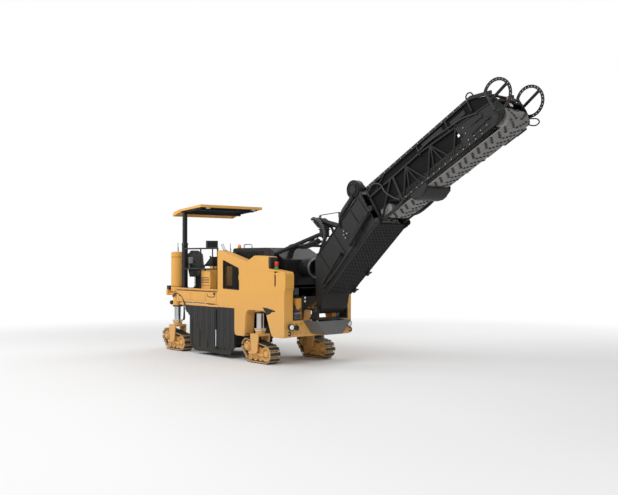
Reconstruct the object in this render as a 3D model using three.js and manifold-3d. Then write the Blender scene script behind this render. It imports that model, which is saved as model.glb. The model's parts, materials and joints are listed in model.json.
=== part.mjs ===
// Compact cold planer on four steered tracks, with a rear-mounted canopy and a folding loading conveyor.
// Millimetres, +X forward, +Y to the machine's left, +Z up. The tracks stand on z = 0, and the finished
// group is shifted along X so that the origin lies under the middle of the machine.
import * as THREE from "three";
import { mergeVertices } from "three/addons/utils/BufferGeometryUtils.js";
import Module from "manifold-3d";

const wasm = await Module();
wasm.setup();

// ---------------------------------------------------------------- driving dimensions
const GAP = 0.3; // between parts that touch
const PIN_PLAY = 0.9; // between a pin's radius and its bore's
const RUN = 10; // between parts that pass each other

const wheelbase = 3500;
const bodyHalfWidth = 1000;

const track = {
  width: 280,
  cheekGap: 6, // between the belt's side and the yoke's cheek
  cheekWall: 26,
  beltWall: 25,
  shoe: 25, // height of a shoe above the belt
  shoes: 22,
  idler: { x: 345, radius: 170 },
  sprocket: { x: -350, z: 365, radius: 140 },
  rollerRadius: 80,
  rollerX: [-230, -40, 150],
};
const column = { radius: 85, bottom: 750, top: 1600, sides: 24 };
const sleeve = { radius: 120, bottom: 1150, frontTop: 1950 };
const jacket = { radius: 172, bottom: 1520, top: 2500 }; // rear leg covers

const rail = { inner: 500, outer: 620, bottom: 1240, top: 1480, rear: -wheelbase - 150, front: 1050 };
const frontBeam = { rear: 950, front: 1100, bottom: 650, top: 1000 };

const panel = { wall: 30, depth: 250, rear: -1460, front: 1100, footBottom: 580 };
const deck = { rear: -wheelbase + 190, front: -1470, bottom: 1270, top: 1600, wall: 30, plate: 40, halfWidth: 980 };

const cutter = { x: -wheelbase + 1750, z: 560, right: -880, width: 1220, radius: 400, tip: 490, shaft: 90 };
const chamber = { rear: cutter.x - 670, front: cutter.x + 670, bottom: 300, top: 1190, bore: 560, wall: 30, lug: 70 };
const sidePlate = { rear: cutter.x - 1000, front: cutter.x + 950, bottom: 100, top: 1150, leftTop: 1005, frontTop: 930, wall: 20 };

const hood = { rear: -1400, front: 50, bottom: 2300, top: 2600, halfWidth: 600, wall: 25 };
const cowl = { front: 600, frontTop: 2330, bottom: 1600 };
const gantryPost = { rear: 270, front: 390, top: 2480 };
const engine = { rear: -1300, front: -150, halfWidth: 400, bottom: 1600, top: 2180 };
const duct = { z: 2140, radius: 205, front: 970, rim: 22, wall: 12 };

const primary = { x0: cutter.x + 630, z0: 500, x1: 640, z1: 1590, half: 350, depth: 260, wall: 20 };
const slew = { x: 1250, pin: 60, discRadius: 300, disc: 30 };
const gantryBearing = { bottom: 2830, top: 3030, radius: 110 };
const luffCylinder = { baseX: 1000, baseZ: 3220, eyeS: 1574, eyeH: 940, barrel: 60, rod: 34, pin: 22, slack: 12 };
const foldCylinder = { baseS: 1794, baseH: 255, eyeS: 10, eyeH: 290, y: 500, barrel: 38, rod: 22, pin: 16, slack: 22 };
const luffPivot = { x: 1450, z: 1250, pin: 40 };
const foldPin = { radius: 28, clear: 62 };
const lower = { slope: 42.5, length: 2636, rise: 94, tailHalf: 370, foldHalf: 450, depth: 760, wall: 25, bottom: 80, tailBottom: -70 };
const upper = { slope: 29, half: 350, wall: 40, chordLow: 90, chordHigh: 830, length: 3300, beltHalf: 300 };
const headPulley = { s: 3320, h: 120, radius: 165 };
const mitreGap = 12; // between the fold's mitre plane and the upper section

const canopy = { rear: -wheelbase - 60, front: -wheelbase + 1250, halfWidth: 950 };
const mast = { x: -wheelbase + 400, y: -870, width: 90 };

// ---------------------------------------------------------------- derived places
const trackY = bodyHalfWidth - 1 - track.cheekWall - track.cheekGap - track.width / 2;
const beltFloor = track.shoe + track.beltWall; // height of the belt's inner face on the ground run
const panelInner = bodyHalfWidth - panel.depth;
const cutterLeft = cutter.right + cutter.width;
const luffSlope = THREE.MathUtils.degToRad(lower.slope);
const headSlope = THREE.MathUtils.degToRad(upper.slope);

// A place in the lower conveyor section: s along its slope from the luff pivot, h at right angles to it.
const onLower = (s, h) => ({
  x: luffPivot.x + s * Math.cos(luffSlope) - h * Math.sin(luffSlope),
  z: luffPivot.z + s * Math.sin(luffSlope) + h * Math.cos(luffSlope),
});
const foldPivot = onLower(lower.length, lower.rise);

// ---------------------------------------------------------------- colours
const paint = (color, roughness = 0.45, metalness = 0) =>
  new THREE.MeshStandardMaterial({ color, roughness, metalness });
const YELLOW = paint("#e9b04f");
const BLACK = paint("#2b2b2b", 0.5);
const DARK_GREY = paint("#3b4044", 0.5);
const STEEL = paint("#c9c9c9", 0.25, 1);
const RUBBER = paint("#262626", 0.85);
const BELT = paint("#777777", 0.85);
const SEAT = paint("#1e1e1e", 0.8);

// ---------------------------------------------------------------- solids
// A closed three.js geometry as a solid that can be joined and cut.
function solid(geometry) {
  const bare = geometry.index ? geometry.toNonIndexed() : geometry.clone();
  bare.deleteAttribute("normal");
  bare.deleteAttribute("uv");
  const merged = mergeVertices(bare, 1e-4);
  return new wasm.Manifold(
    new wasm.Mesh({
      numProp: 3,
      vertProperties: merged.attributes.position.array,
      triVerts: new Uint32Array(merged.index.array),
    }),
  );
}

const join = (...parts) => parts.reduce((whole, part) => whole.add(part));
const cut = (whole, ...tools) => tools.reduce((rest, tool) => rest.subtract(tool), whole);

function box(x0, x1, y0, y1, z0, z1) {
  const geometry = new THREE.BoxGeometry(x1 - x0, y1 - y0, z1 - z0);
  return solid(geometry.translate((x0 + x1) / 2, (y0 + y1) / 2, (z0 + z1) / 2));
}

// The same box on both sides of the machine: y0 and y1 are distances from its centre plane.
const pairOfBoxes = (x0, x1, y0, y1, z0, z1) => [
  box(x0, x1, y0, y1, z0, z1),
  box(x0, x1, -y1, -y0, z0, z1),
];

// A round bar from one point to another.
function bar(from, to, radius, sides = 12) {
  const start = new THREE.Vector3(...from);
  const along = new THREE.Vector3(...to).sub(start);
  const geometry = new THREE.CylinderGeometry(radius, radius, along.length(), sides);
  geometry.translate(0, along.length() / 2, 0);
  const turn = new THREE.Quaternion().setFromUnitVectors(
    new THREE.Vector3(0, 1, 0),
    along.clone().normalize(),
  );
  return solid(geometry.applyQuaternion(turn).translate(...from));
}

const post = (x, y, z0, z1, radius, sides) => bar([x, y, z0], [x, y, z1], radius, sides);
const crossBar = (x, y0, y1, z, radius, sides) => bar([x, y0, z], [x, y1, z], radius, sides);

// An outline in X and Z, made into a plate between two values of y.
function plate(outline, y0, y1) {
  const shape = outline instanceof THREE.Shape ? outline : shapeOf(outline);
  const geometry = new THREE.ExtrudeGeometry(shape, {
    depth: y1 - y0,
    bevelEnabled: false,
    curveSegments: 7,
  });
  return solid(geometry.rotateX(Math.PI / 2).translate(0, y1, 0));
}

const shapeOf = (points) => new THREE.Shape(points.map(([x, z]) => new THREE.Vector2(x, z)));

// Moves each corner of an outline inwards by the same distance.
function inset(points, distance) {
  const count = points.length;
  const edges = points.map(([x, z], i) => {
    const [nextX, nextZ] = points[(i + 1) % count];
    const length = Math.hypot(nextX - x, nextZ - z);
    return [-(nextZ - z) / length, (nextX - x) / length];
  });
  return points.map(([x, z], i) => {
    const [ax, az] = edges[(i + count - 1) % count];
    const [bx, bz] = edges[i];
    const scale = distance / (1 + ax * bx + az * bz);
    return [x + (ax + bx) * scale, z + (az + bz) * scale];
  });
}

const mirrored = (piece) => piece.mirror([0, 1, 0]);

// Distances from the centre plane, as low and high y on one side of the machine (1 left, -1 right).
const onSide = (side, near, far) => (side > 0 ? [near, far] : [-far, -near]);

const machine = new THREE.Group();

// Adds a finished solid to a group as a named mesh.
function add(name, piece, material, group = machine) {
  const { vertProperties, triVerts } = piece.getMesh();
  const geometry = new THREE.BufferGeometry();
  geometry.setAttribute("position", new THREE.BufferAttribute(new Float32Array(vertProperties), 3));
  geometry.setIndex(new THREE.BufferAttribute(new Uint32Array(triVerts), 1));
  geometry.computeVertexNormals();
  const mesh = new THREE.Mesh(geometry, material);
  mesh.name = name;
  group.add(mesh);
}

// ---------------------------------------------------------------- tracks and legs
// The closed path around three wheels, anticlockwise.
function pathAround(wheels) {
  const path = new THREE.Path();
  const leaving = wheels.map((wheel, i) => {
    const next = wheels[(i + 1) % wheels.length];
    const heading = Math.atan2(next.z - wheel.z, next.x - wheel.x);
    const apart = Math.hypot(next.z - wheel.z, next.x - wheel.x);
    return heading - Math.acos((wheel.radius - next.radius) / apart);
  });
  wheels.forEach((wheel, i) => {
    const arriving = leaving[(i + wheels.length - 1) % wheels.length];
    path.absarc(wheel.x, wheel.z, wheel.radius, arriving, leaving[i], false);
  });
  path.closePath();
  return path;
}

const trackWheels = [
  { ...track.idler, z: beltFloor + track.idler.radius },
  { ...track.sprocket },
  { x: track.rollerX[0], z: beltFloor + track.rollerRadius, radius: track.rollerRadius },
];

// A point beside the path, the given distance outside it.
function beside(path, share, distance) {
  const at = path.getPointAt(share % 1);
  const heading = path.getTangentAt(share % 1);
  return [at.x + heading.y * distance, at.y - heading.x * distance];
}

function trackBelt() {
  const path = pathAround(trackWheels);
  path.arcLengthDivisions = 2000;
  const outline = [];
  for (let i = 0; i < track.shoes; i += 1) {
    const start = (i + 0.2) / track.shoes;
    const end = (i + 0.8) / track.shoes;
    outline.push(beside(path, start, track.beltWall));
    outline.push(beside(path, start, track.beltWall + track.shoe));
    outline.push(beside(path, end, track.beltWall + track.shoe));
    outline.push(beside(path, end, track.beltWall));
  }
  const half = track.width / 2;
  const ring = cut(plate(outline, -half, half), plate(path.getPoints(6).map((p) => [p.x, p.y]), -half - 1, half + 1));
  // The ground run is flat: its shoes end on one plane.
  return cut(ring, box(-900, 900, -half - 1, half + 1, -60, 0));
}

// The wheels, the beam that carries them and the yoke above, welded and pinned into one unit.
function trackFrame() {
  const side = track.width / 2 + track.cheekGap;
  const wheelHalf = 60;
  const clear = 4;
  const pieces = trackWheels.map((wheel) =>
    crossBar(wheel.x, -wheelHalf, wheelHalf, wheel.z, wheel.radius - clear, 18),
  );
  for (const x of track.rollerX) {
    pieces.push(crossBar(x, -wheelHalf - 30, wheelHalf + 30, beltFloor + track.rollerRadius, track.rollerRadius - GAP, 10));
  }
  const beamShape = [
    [track.sprocket.x + 20, track.sprocket.z + 60],
    [track.sprocket.x - 20, track.sprocket.z - 60],
    [track.rollerX[0], beltFloor + 50],
    [track.rollerX[2], beltFloor + 50],
    [track.idler.x + 30, beltFloor + track.idler.radius - 50],
    [track.idler.x + 10, beltFloor + track.idler.radius + 50],
    [0, beltFloor + 350],
  ];
  pieces.push(plate(beamShape, -wheelHalf - 25, wheelHalf + 25));
  pieces.push(crossBar(0, -side - track.cheekWall, side + track.cheekWall, 300, 45, 12));
  const cheek = [
    [-100, 270],
    [-60, 225],
    [60, 225],
    [100, 270],
    [140, 560],
    [140, 660],
    [-150, 660],
    [-150, 560],
  ];
  pieces.push(plate(cheek, side, side + track.cheekWall));
  pieces.push(plate(cheek, -side - track.cheekWall, -side));
  pieces.push(box(-150, 140, -side - 5, side + 5, 610, 660));
  pieces.push(post(0, 0, 655, column.bottom - 30, 110, 16));
  return join(...pieces);
}

function legColumn() {
  return join(
    post(0, 0, column.bottom - 30 + GAP, column.bottom, 125, 16),
    post(0, 0, column.bottom - 5, column.top, column.radius, column.sides),
  );
}

const legs = [
  ["fl", 0, 1],
  ["fr", 0, -1],
  ["rl", -wheelbase, 1],
  ["rr", -wheelbase, -1],
];

for (const [corner, x, side] of legs) {
  const leg = new THREE.Group();
  leg.position.set(x, side * trackY, 0);
  machine.add(leg);
  add(`leg_column_${corner}`, legColumn(), STEEL, leg);
  add(`track_frame_${corner}`, trackFrame(), YELLOW, leg);
  add(`track_belt_${corner}`, trackBelt(), RUBBER, leg);
}

// ---------------------------------------------------------------- frame
const sleeveBore = (x, side) => post(x, side * trackY, 1000, column.top + 20, column.radius + PIN_PLAY, column.sides);

function mainFrame() {
  const beamEnd = panelInner - GAP;
  const pieces = [
    ...pairOfBoxes(rail.rear, rail.front, rail.inner, rail.outer, rail.bottom, rail.top),
    box(frontBeam.rear, frontBeam.front, -beamEnd, beamEnd, frontBeam.bottom, frontBeam.top),
    ...pairOfBoxes(frontBeam.rear, rail.front, rail.inner, rail.outer, frontBeam.top - 50, rail.bottom + 50),
    box(-wheelbase - 100, -wheelbase + 100, -rail.outer - 20, rail.outer + 20, rail.bottom, jacket.bottom),
    box(chamber.rear - 280, chamber.rear - 140, -rail.inner - 20, rail.inner + 20, rail.bottom, rail.top),
  ];
  for (const side of [-1, 1]) {
    pieces.push(post(0, side * trackY, sleeve.bottom, sleeve.frontTop, sleeve.radius, 20));
    const reach = onSide(side, rail.outer - 20, trackY - sleeve.radius + 30);
    pieces.push(box(-80, 80, ...reach, rail.bottom, rail.top));
  }
  const frame = join(...pieces);
  return cut(frame, sleeveBore(0, 1), sleeveBore(0, -1));
}
add("main_frame", mainFrame(), BLACK);

// The rear legs' sleeves, with the round covers over their upper ends and their welded seats on the frame.
function rearHousing(side) {
  const y = side * trackY;
  const seatInner = rail.outer + 20 + GAP;
  const whole = join(
    post(-wheelbase, y, sleeve.bottom, jacket.bottom + 10, sleeve.radius, 20),
    post(-wheelbase, y, jacket.bottom, jacket.top, jacket.radius, 28),
    box(-wheelbase - 90, -wheelbase + 90, ...onSide(side, seatInner, trackY), rail.bottom + 10, jacket.bottom + 10),
  );
  return cut(whole, sleeveBore(-wheelbase, side));
}
add("leg_housing_rl", rearHousing(1), YELLOW);
add("leg_housing_rr", rearHousing(-1), YELLOW);

// ---------------------------------------------------------------- side panels
const archTop = 1190;
const panelOutline = [
  [panel.rear, 1240],
  [panel.rear + 40, 1200],
  [-770, 1200],
  [-770, 700],
  [-700, panel.footBottom],
  [-380, panel.footBottom],
  [-340, 1060],
  [-300, 1150],
  [-220, archTop],
  [330, archTop],
  [430, 1130],
  [470, 1000],
  [600, 700],
  [650, 630],
  [1010, 630],
  [1050, 680],
  [1060, 1600],
  [panel.front, 1700],
  [panel.front, 2000],
  [1060, 2060],
  [510, 2130],
  [510, 2400],
  [-20, 2420],
  [-300, 2280],
  [-1400, 2550],
  [panel.rear, 2550],
];
const grille = [
  [-1240, 1640],
  [-590, 1620],
  [-610, 2130],
  [-1235, 2320],
];

function sidePanel() {
  const outer = plate(panelOutline, panelInner, bodyHalfWidth);
  const hollow = plate(inset(panelOutline, panel.wall), panelInner - 1, bodyHalfWidth - panel.wall);
  const window = plate(grille, bodyHalfWidth - panel.wall - 1, bodyHalfWidth + 1);
  const legHole = post(0, trackY, archTop - 60, archTop + 60, sleeve.radius + 5, 20);
  return cut(outer, hollow, window, legHole);
}
add("side_panel_l", sidePanel(), YELLOW);
add("side_panel_r", mirrored(sidePanel()), YELLOW);

// ---------------------------------------------------------------- operator's deck
function operatorDeck() {
  const { rear, front, bottom, top, wall, plate: sheet, halfWidth } = deck;
  const shell = cut(
    box(rear, front, -halfWidth, halfWidth, bottom, top),
    box(rear + wall, front - wall, -halfWidth + wall, halfWidth - wall, bottom - 1, top - sheet),
    ...pairOfBoxes(rear - 1, front + 1, rail.inner - RUN, rail.outer + RUN, bottom - 1, rail.top + GAP),
  );
  const ribs = pairOfBoxes(rear + 5, front - 5, rail.inner + 20, rail.outer - 20, rail.top + GAP, top - 5);
  return join(shell, ...ribs);
}
add("operator_deck", operatorDeck(), YELLOW);

// ---------------------------------------------------------------- cutter
function drumHousing() {
  const { rear, front, bottom, top, bore, wall, lug } = chamber;
  const right = cutter.right - wall - 5;
  const left = cutterLeft + wall + 5;
  const hung = rail.bottom - GAP;
  const block = join(
    box(rear, front, right, left, bottom, top),
    box(rear, rear + lug, -rail.outer, -rail.inner, top - 5, hung),
    box(front - lug, front, -rail.outer, -rail.inner, top - 5, hung),
    box(rear, rear + lug, left - wall, rail.outer, top - 60, hung),
    box(front - lug, front, left - wall, rail.outer, top - 60, hung),
  );
  return cut(
    block,
    crossBar(cutter.x, right + wall, left - wall, cutter.z, bore, 36),
    box(cutter.x - bore, cutter.x + bore, right + wall, left - wall, bottom - 1, cutter.z),
    box(cutter.x + 300, front + 1, -360, 360, bottom - 1, 840),
    crossBar(cutter.x, right - 1, left + 1, cutter.z, cutter.shaft + PIN_PLAY, 28),
  );
}
add("drum_housing", drumHousing(), BLACK);

function millingDrum() {
  const right = cutter.right;
  const left = cutterLeft;
  const drum = join(
    crossBar(cutter.x, right, left, cutter.z, cutter.radius, 28),
    crossBar(cutter.x, right - chamber.wall - 5, left + chamber.wall + 5, cutter.z, cutter.shaft, 28),
  );
  const picks = [];
  const turns = 20;
  for (let i = 0; i < turns; i += 1) {
    const y = right + 30 + ((cutter.width - 60) * i) / (turns - 1);
    const angle = (i < turns / 2 ? i : turns - i) * 1.9;
    const out = (radius) => [cutter.x + radius * Math.cos(angle), y, cutter.z + radius * Math.sin(angle)];
    picks.push(bar(out(cutter.radius - 20), out(cutter.tip), 26, 4));
  }
  return join(drum, ...picks);
}
add("milling_drum", millingDrum(), DARK_GREY);

// The plates that slide up and down beside the drum, on two runners each.
function drumSidePlate(outline, inner, outer, housingSide) {
  const sheet = plate(outline, Math.min(inner, outer), Math.max(inner, outer));
  const runner = [Math.min(inner, housingSide), Math.max(inner, housingSide)];
  return join(
    sheet,
    box(chamber.rear + 100, chamber.rear + 170, ...runner, 350, 900),
    box(chamber.front - 170, chamber.front - 100, ...runner, 350, 900),
  );
}
const plateRight = [
  [sidePlate.rear, 300],
  [sidePlate.rear + 200, sidePlate.bottom],
  [sidePlate.front - 200, sidePlate.bottom],
  [sidePlate.front, 300],
  [sidePlate.front, sidePlate.frontTop],
  [panel.rear - 60, sidePlate.frontTop],
  [panel.rear - 60, sidePlate.top],
  [sidePlate.rear, sidePlate.top],
];
const plateLeft = [
  [chamber.rear + chamber.lug + RUN, 300],
  [chamber.rear + 220, sidePlate.bottom],
  [chamber.front - 220, sidePlate.bottom],
  [chamber.front - chamber.lug - RUN, 300],
  [chamber.front - chamber.lug - RUN, sidePlate.leftTop],
  [chamber.rear + chamber.lug + RUN, sidePlate.leftTop],
];
const housingRight = cutter.right - chamber.wall - 5;
const housingLeft = cutterLeft + chamber.wall + 5;
add(
  "drum_side_plate_r",
  drumSidePlate(plateRight, housingRight - RUN, housingRight - RUN - sidePlate.wall, housingRight - GAP),
  BLACK,
);
add(
  "drum_side_plate_l",
  drumSidePlate(plateLeft, housingLeft + RUN, housingLeft + RUN + sidePlate.wall, housingLeft + GAP),
  BLACK,
);

function scraper() {
  const back = chamber.rear - GAP;
  return join(
    box(back - 30, back, cutter.right, cutterLeft, 80, 900),
    box(back - 60, back - 20, cutter.right, cutterLeft, 80, 140),
    box(back - 90, back - 20, cutter.right + 100, cutter.right + 160, 140, 880),
    box(back - 90, back - 20, cutterLeft - 160, cutterLeft - 100, 140, 880),
  );
}
add("scraper", scraper(), BLACK);

// ---------------------------------------------------------------- engine and its covers
function engineBlock() {
  const { rear, front, halfWidth, bottom, top } = engine;
  const footHalf = rail.inner + 60;
  return join(
    box(rear, front, -halfWidth, halfWidth, bottom, top),
    box(rear + 150, rear + 350, -footHalf, footHalf, rail.top + GAP, bottom + 40),
    box(front - 350, front - 150, -footHalf, footHalf, rail.top + GAP, bottom + 40),
  );
}
add("engine_block", engineBlock(), DARK_GREY);

function engineHood() {
  const { rear, front, bottom, top, halfWidth, wall } = hood;
  const outline = [
    [rear + 20, bottom],
    [front, bottom],
    [front, top - 10],
    [front - 200, top],
    [rear + 80, top],
    [rear + 20, top - 40],
  ];
  return cut(
    plate(outline, -halfWidth, halfWidth),
    box(rear + 20 + wall, front - wall, -halfWidth + wall, halfWidth - wall, bottom - 1, top - wall - 20),
  );
}
add("engine_hood", engineHood(), BLACK);

// The fixed cover: bulkhead, sills under the hood and the sloping nose.
function engineCowl() {
  const { rear, front, bottom, top, halfWidth, wall } = hood;
  const nose = [
    [front + RUN, cowl.bottom],
    [cowl.front, cowl.bottom],
    [cowl.front, cowl.frontTop],
    [front + RUN, top - 15],
  ];
  const noseShell = cut(
    plate(nose, -halfWidth, halfWidth),
    plate(
      [
        [front, cowl.bottom - 1],
        [cowl.front - wall, cowl.bottom - 1],
        [cowl.front - wall, cowl.frontTop - wall],
        [front, top - 15 - wall],
      ],
      -halfWidth + wall,
      halfWidth - wall,
    ),
    // The primary conveyor's head comes out below the duct.
    box(front, cowl.front + 1, -primary.half - RUN, primary.half + RUN, cowl.bottom - 1, 1760),
  );
  return join(
    noseShell,
    ...pairOfBoxes(rear - 20, cowl.front - 100, halfWidth - wall, halfWidth, cowl.bottom, bottom - GAP),
    ...pairOfBoxes(cowl.front - wall, cowl.front, halfWidth - 80, halfWidth, rail.top + GAP, cowl.bottom + 10),
    box(rear - 20, rear, -halfWidth, halfWidth, rail.top + GAP, bottom - GAP),
    crossBar(rear + 5, -halfWidth, halfWidth, bottom - 40, 18, 12),
  );
}
add("engine_cowl", engineCowl(), BLACK);

function suctionDuct() {
  const { z, radius, front, rim, wall } = duct;
  const rear = cowl.front + GAP;
  return cut(
    join(bar([rear, 0, z], [front, 0, z], radius, 28), bar([front - 30, 0, z], [front, 0, z], radius + rim, 28)),
    bar([rear + wall, 0, z], [front + 1, 0, z], radius - wall, 28),
  );
}
add("suction_duct", suctionDuct(), DARK_GREY);

// ---------------------------------------------------------------- primary conveyor
function primaryConveyor() {
  const { x0, z0, x1, z1, half, depth, wall } = primary;
  const slope = Math.atan2(z1 - z0, x1 - x0);
  const length = Math.hypot(z1 - z0, x1 - x0);
  const tunnel = cut(
    box(0, length, -half, half, -depth / 2, depth / 2),
    box(-1, length + 1, -half + wall, half - wall, -depth / 2 + wall, depth / 2 - wall),
  );
  const tilted = tunnel.rotate([0, -THREE.MathUtils.radToDeg(slope), 0]).translate([x0, 0, z0]);
  const pinX = 330;
  const pinZ = z0 + Math.tan(slope) * (pinX - x0);
  const pins = [
    crossBar(pinX, half - 5, rail.inner - GAP, pinZ, 35, 16),
    crossBar(pinX, -rail.inner + GAP, -half + 5, pinZ, 35, 16),
  ];
  return join(tilted, ...pins);
}
add("primary_conveyor", primaryConveyor(), BLACK);

// ---------------------------------------------------------------- conveyor mounting
function slewBracket() {
  const { front, bottom, top } = frontBeam;
  const topHalf = 500;
  const lowHalf = 250;
  const corners = [
    [-lowHalf, bottom + 50],
    [lowHalf, bottom + 50],
    [topHalf, top],
    [-topHalf, top],
  ];
  const shape = shapeOf(corners);
  const depth = 470;
  const geometry = new THREE.ExtrudeGeometry(shape, { depth, bevelEnabled: false });
  // The outline's own axes become Y and Z, and its depth runs forward.
  geometry.rotateX(Math.PI / 2).rotateZ(Math.PI / 2).translate(front + GAP, 0, 0);
  return cut(solid(geometry), post(slew.x, 0, top - 200, top + 1, slew.pin + PIN_PLAY, 20));
}
add("slew_bracket", slewBracket(), DARK_GREY);

const turntable = new THREE.Group();
machine.add(turntable);

function slewTurntable() {
  const base = frontBeam.top + GAP;
  const cheekIn = lower.tailHalf + 35;
  const cheekOut = cheekIn + 30;
  const cheek = [
    [slew.x, base + 30],
    [slew.x + 290, base + 30],
    [slew.x + 290, luffPivot.z + 40],
    [slew.x + 240, luffPivot.z + 90],
    [slew.x + 160, luffPivot.z + 90],
  ];
  const whole = join(
    post(slew.x, 0, base, base + slew.disc + 5, slew.discRadius, 32),
    post(slew.x, 0, frontBeam.top - 190, base + 5, slew.pin, 20),
    box(slew.x, slew.x + 290, -cheekOut, cheekOut, base + slew.disc, base + slew.disc + 30),
    plate(cheek, cheekIn, cheekOut),
    plate(cheek, -cheekOut, -cheekIn),
  );
  return cut(whole, crossBar(luffPivot.x, -cheekOut - 1, cheekOut + 1, luffPivot.z, luffPivot.pin + PIN_PLAY, 24));
}
add("slew_turntable", slewTurntable(), BLACK, turntable);

function gantry() {
  const { rear, front, top } = gantryPost;
  const postInner = hood.halfWidth + 30;
  const postOuter = panelInner - RUN;
  const apex = (gantryBearing.bottom + gantryBearing.top) / 2;
  const armFoot = new THREE.Vector3((rear + front) / 2, (postInner + postOuter) / 2, top - 30);
  const armHead = new THREE.Vector3(slew.x, 60, apex - 20);
  const pieces = [];
  for (const side of [-1, 1]) {
    pieces.push(box(rear, front, ...onSide(side, postInner, postOuter), rail.top + GAP, top));
    pieces.push(box(rear, front, ...onSide(side, rail.outer - 50, postOuter), rail.top + GAP, rail.top + 90));
    pieces.push(bar([armFoot.x, side * armFoot.y, armFoot.z], [armHead.x, side * armHead.y, armHead.z], 45, 12));
  }
  const middle = armFoot.clone().lerp(armHead, 0.42);
  pieces.push(crossBar(middle.x, -middle.y, middle.y, middle.z, 30, 12));
  pieces.push(post(slew.x, 0, gantryBearing.bottom, gantryBearing.top, gantryBearing.radius, 20));
  return cut(
    join(...pieces),
    post(slew.x, 0, gantryBearing.bottom - 1, gantryBearing.top + 1, slew.pin + PIN_PLAY, 20),
  );
}
add("conveyor_gantry", gantry(), BLACK);

const luffBasePin = 30;

// The upper half of the slewing gear: a pin in the gantry's bearing and the ears of the luffing cylinder.
function slewHead() {
  const top = gantryBearing.top + GAP;
  const { baseX, baseZ } = luffCylinder;
  const ear = [
    [slew.x + 80, top + 5],
    [slew.x + 60, top + 60],
    [baseX + 30, baseZ + 60],
    [baseX - 40, baseZ + 60],
    [baseX - 60, baseZ - 10],
    [slew.x - 100, top + 5],
  ];
  const whole = join(
    post(slew.x, 0, gantryBearing.bottom - 30, top + 5, slew.pin, 20),
    post(slew.x, 0, top, top + 10, 118, 20),
    plate(ear, 80, 105),
    plate(ear, -105, -80),
  );
  return cut(whole, crossBar(baseX, -110, 110, baseZ, luffBasePin + PIN_PLAY, 16));
}
add("slew_head", slewHead(), BLACK, turntable);

// ---------------------------------------------------------------- lower conveyor section
// Drawn in its own axes, s and h, where X and Z stand elsewhere.
const lowerSection = new THREE.Group();
lowerSection.position.set(luffPivot.x, 0, luffPivot.z);
lowerSection.rotation.y = -luffSlope;
machine.add(lowerSection);

const { length: foldS, rise: foldH } = lower;
const lowerTop = foldH + lower.depth;
const bend = luffSlope - headSlope;
const mitreLean = Math.tan(bend / 2);

// Widens a solid made at full width from the tail to the fold.
function tapered(piece) {
  const widthAt = (s) => {
    const share = THREE.MathUtils.clamp(s / foldS, 0, 1);
    return THREE.MathUtils.lerp(lower.tailHalf, lower.foldHalf, share) / lower.foldHalf;
  };
  return piece.warp((point) => {
    point[1] *= widthAt(point[0]);
  });
}

// The side outline, with the wall taken off its long edges and its open ends moved out by `past`.
function lowerOutline(wall, past) {
  const bottom = foldH + wall;
  const top = lowerTop - wall;
  const tailBottom = lower.tailBottom + wall;
  const tailX = slew.x + 140;
  const rearAt = (h) => (tailX - luffPivot.x + h * Math.sin(luffSlope)) / Math.cos(luffSlope) - past;
  const frontAt = (h) => foldS + (h - foldH) * mitreLean - foldPin.clear + past;
  return [
    [rearAt(tailBottom + 95), tailBottom],
    [120, tailBottom],
    [350, bottom],
    [frontAt(bottom), bottom],
    [frontAt(top), top],
    [rearAt(top), top],
    [rearAt(tailBottom + 95), tailBottom + 95],
  ];
}

const { eyeS: luffEyeS, eyeH: luffEyeH } = luffCylinder;
const { baseS: foldBaseS, baseH: foldBaseH } = foldCylinder;

function lowerFrame() {
  const full = lower.foldHalf;
  const shell = cut(
    tapered(plate(lowerOutline(0, 0), -full, full)),
    tapered(plate(lowerOutline(lower.wall, 60), -full + lower.wall, full - lower.wall)),
  );
  const pieces = [shell];
  const luffEar = [
    [luffEyeS - 130, lowerTop - 10],
    [luffEyeS + 130, lowerTop - 10],
    [luffEyeS + 40, luffEyeH + 35],
    [luffEyeS - 40, luffEyeH + 35],
  ];
  const foldEar = [
    [foldS - 260, foldH + 5],
    [foldS - 60, foldH - 60],
    [foldS + 45, foldH - 50],
    [foldS + 70, foldH + 10],
    [foldS + 45, foldH + 60],
    [foldS - 200, foldH + 200],
  ];
  for (const side of [-1, 1]) {
    pieces.push(crossBar(0, ...onSide(side, lower.tailHalf - 20, lower.tailHalf + 65), 0, luffPivot.pin, 16));
    pieces.push(plate(luffEar, ...onSide(side, 70, 95)));
    pieces.push(plate(foldEar, ...onSide(side, full - lower.wall, full)));
    const pinEnd = foldCylinder.y + 45;
    pieces.push(crossBar(foldBaseS, ...onSide(side, full - 40, pinEnd), foldBaseH, foldCylinder.pin, 12));
  }
  pieces.push(crossBar(luffEyeS, -95, 95, luffEyeH, luffCylinder.pin, 12));
  return cut(join(...pieces), crossBar(foldS, -full - 1, full + 1, foldH, foldPin.radius + PIN_PLAY, 16));
}
add("conveyor_lower", lowerFrame(), BLACK, lowerSection);

// A belt around two rollers, with the rollers' shafts reaching the frame on both sides.
function beltLoop(rollers, half, shaftHalf) {
  const wall = 12;
  const grown = (by) => pathAround(rollers.map((roller) => ({ ...roller, radius: roller.radius + by })));
  const outline = (by) => grown(by).getPoints(5).map((point) => [point.x, point.y]);
  const pieces = [cut(plate(outline(wall), -half, half), plate(outline(-GAP), -half - 1, half + 1))];
  rollers.forEach((roller, i) => {
    pieces.push(crossBar(roller.x, -half + 20, half - 20, roller.z, roller.radius + 3, 20));
    pieces.push(crossBar(roller.x, -shaftHalf[i], shaftHalf[i], roller.z, 30, 12));
  });
  return join(...pieces);
}

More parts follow.
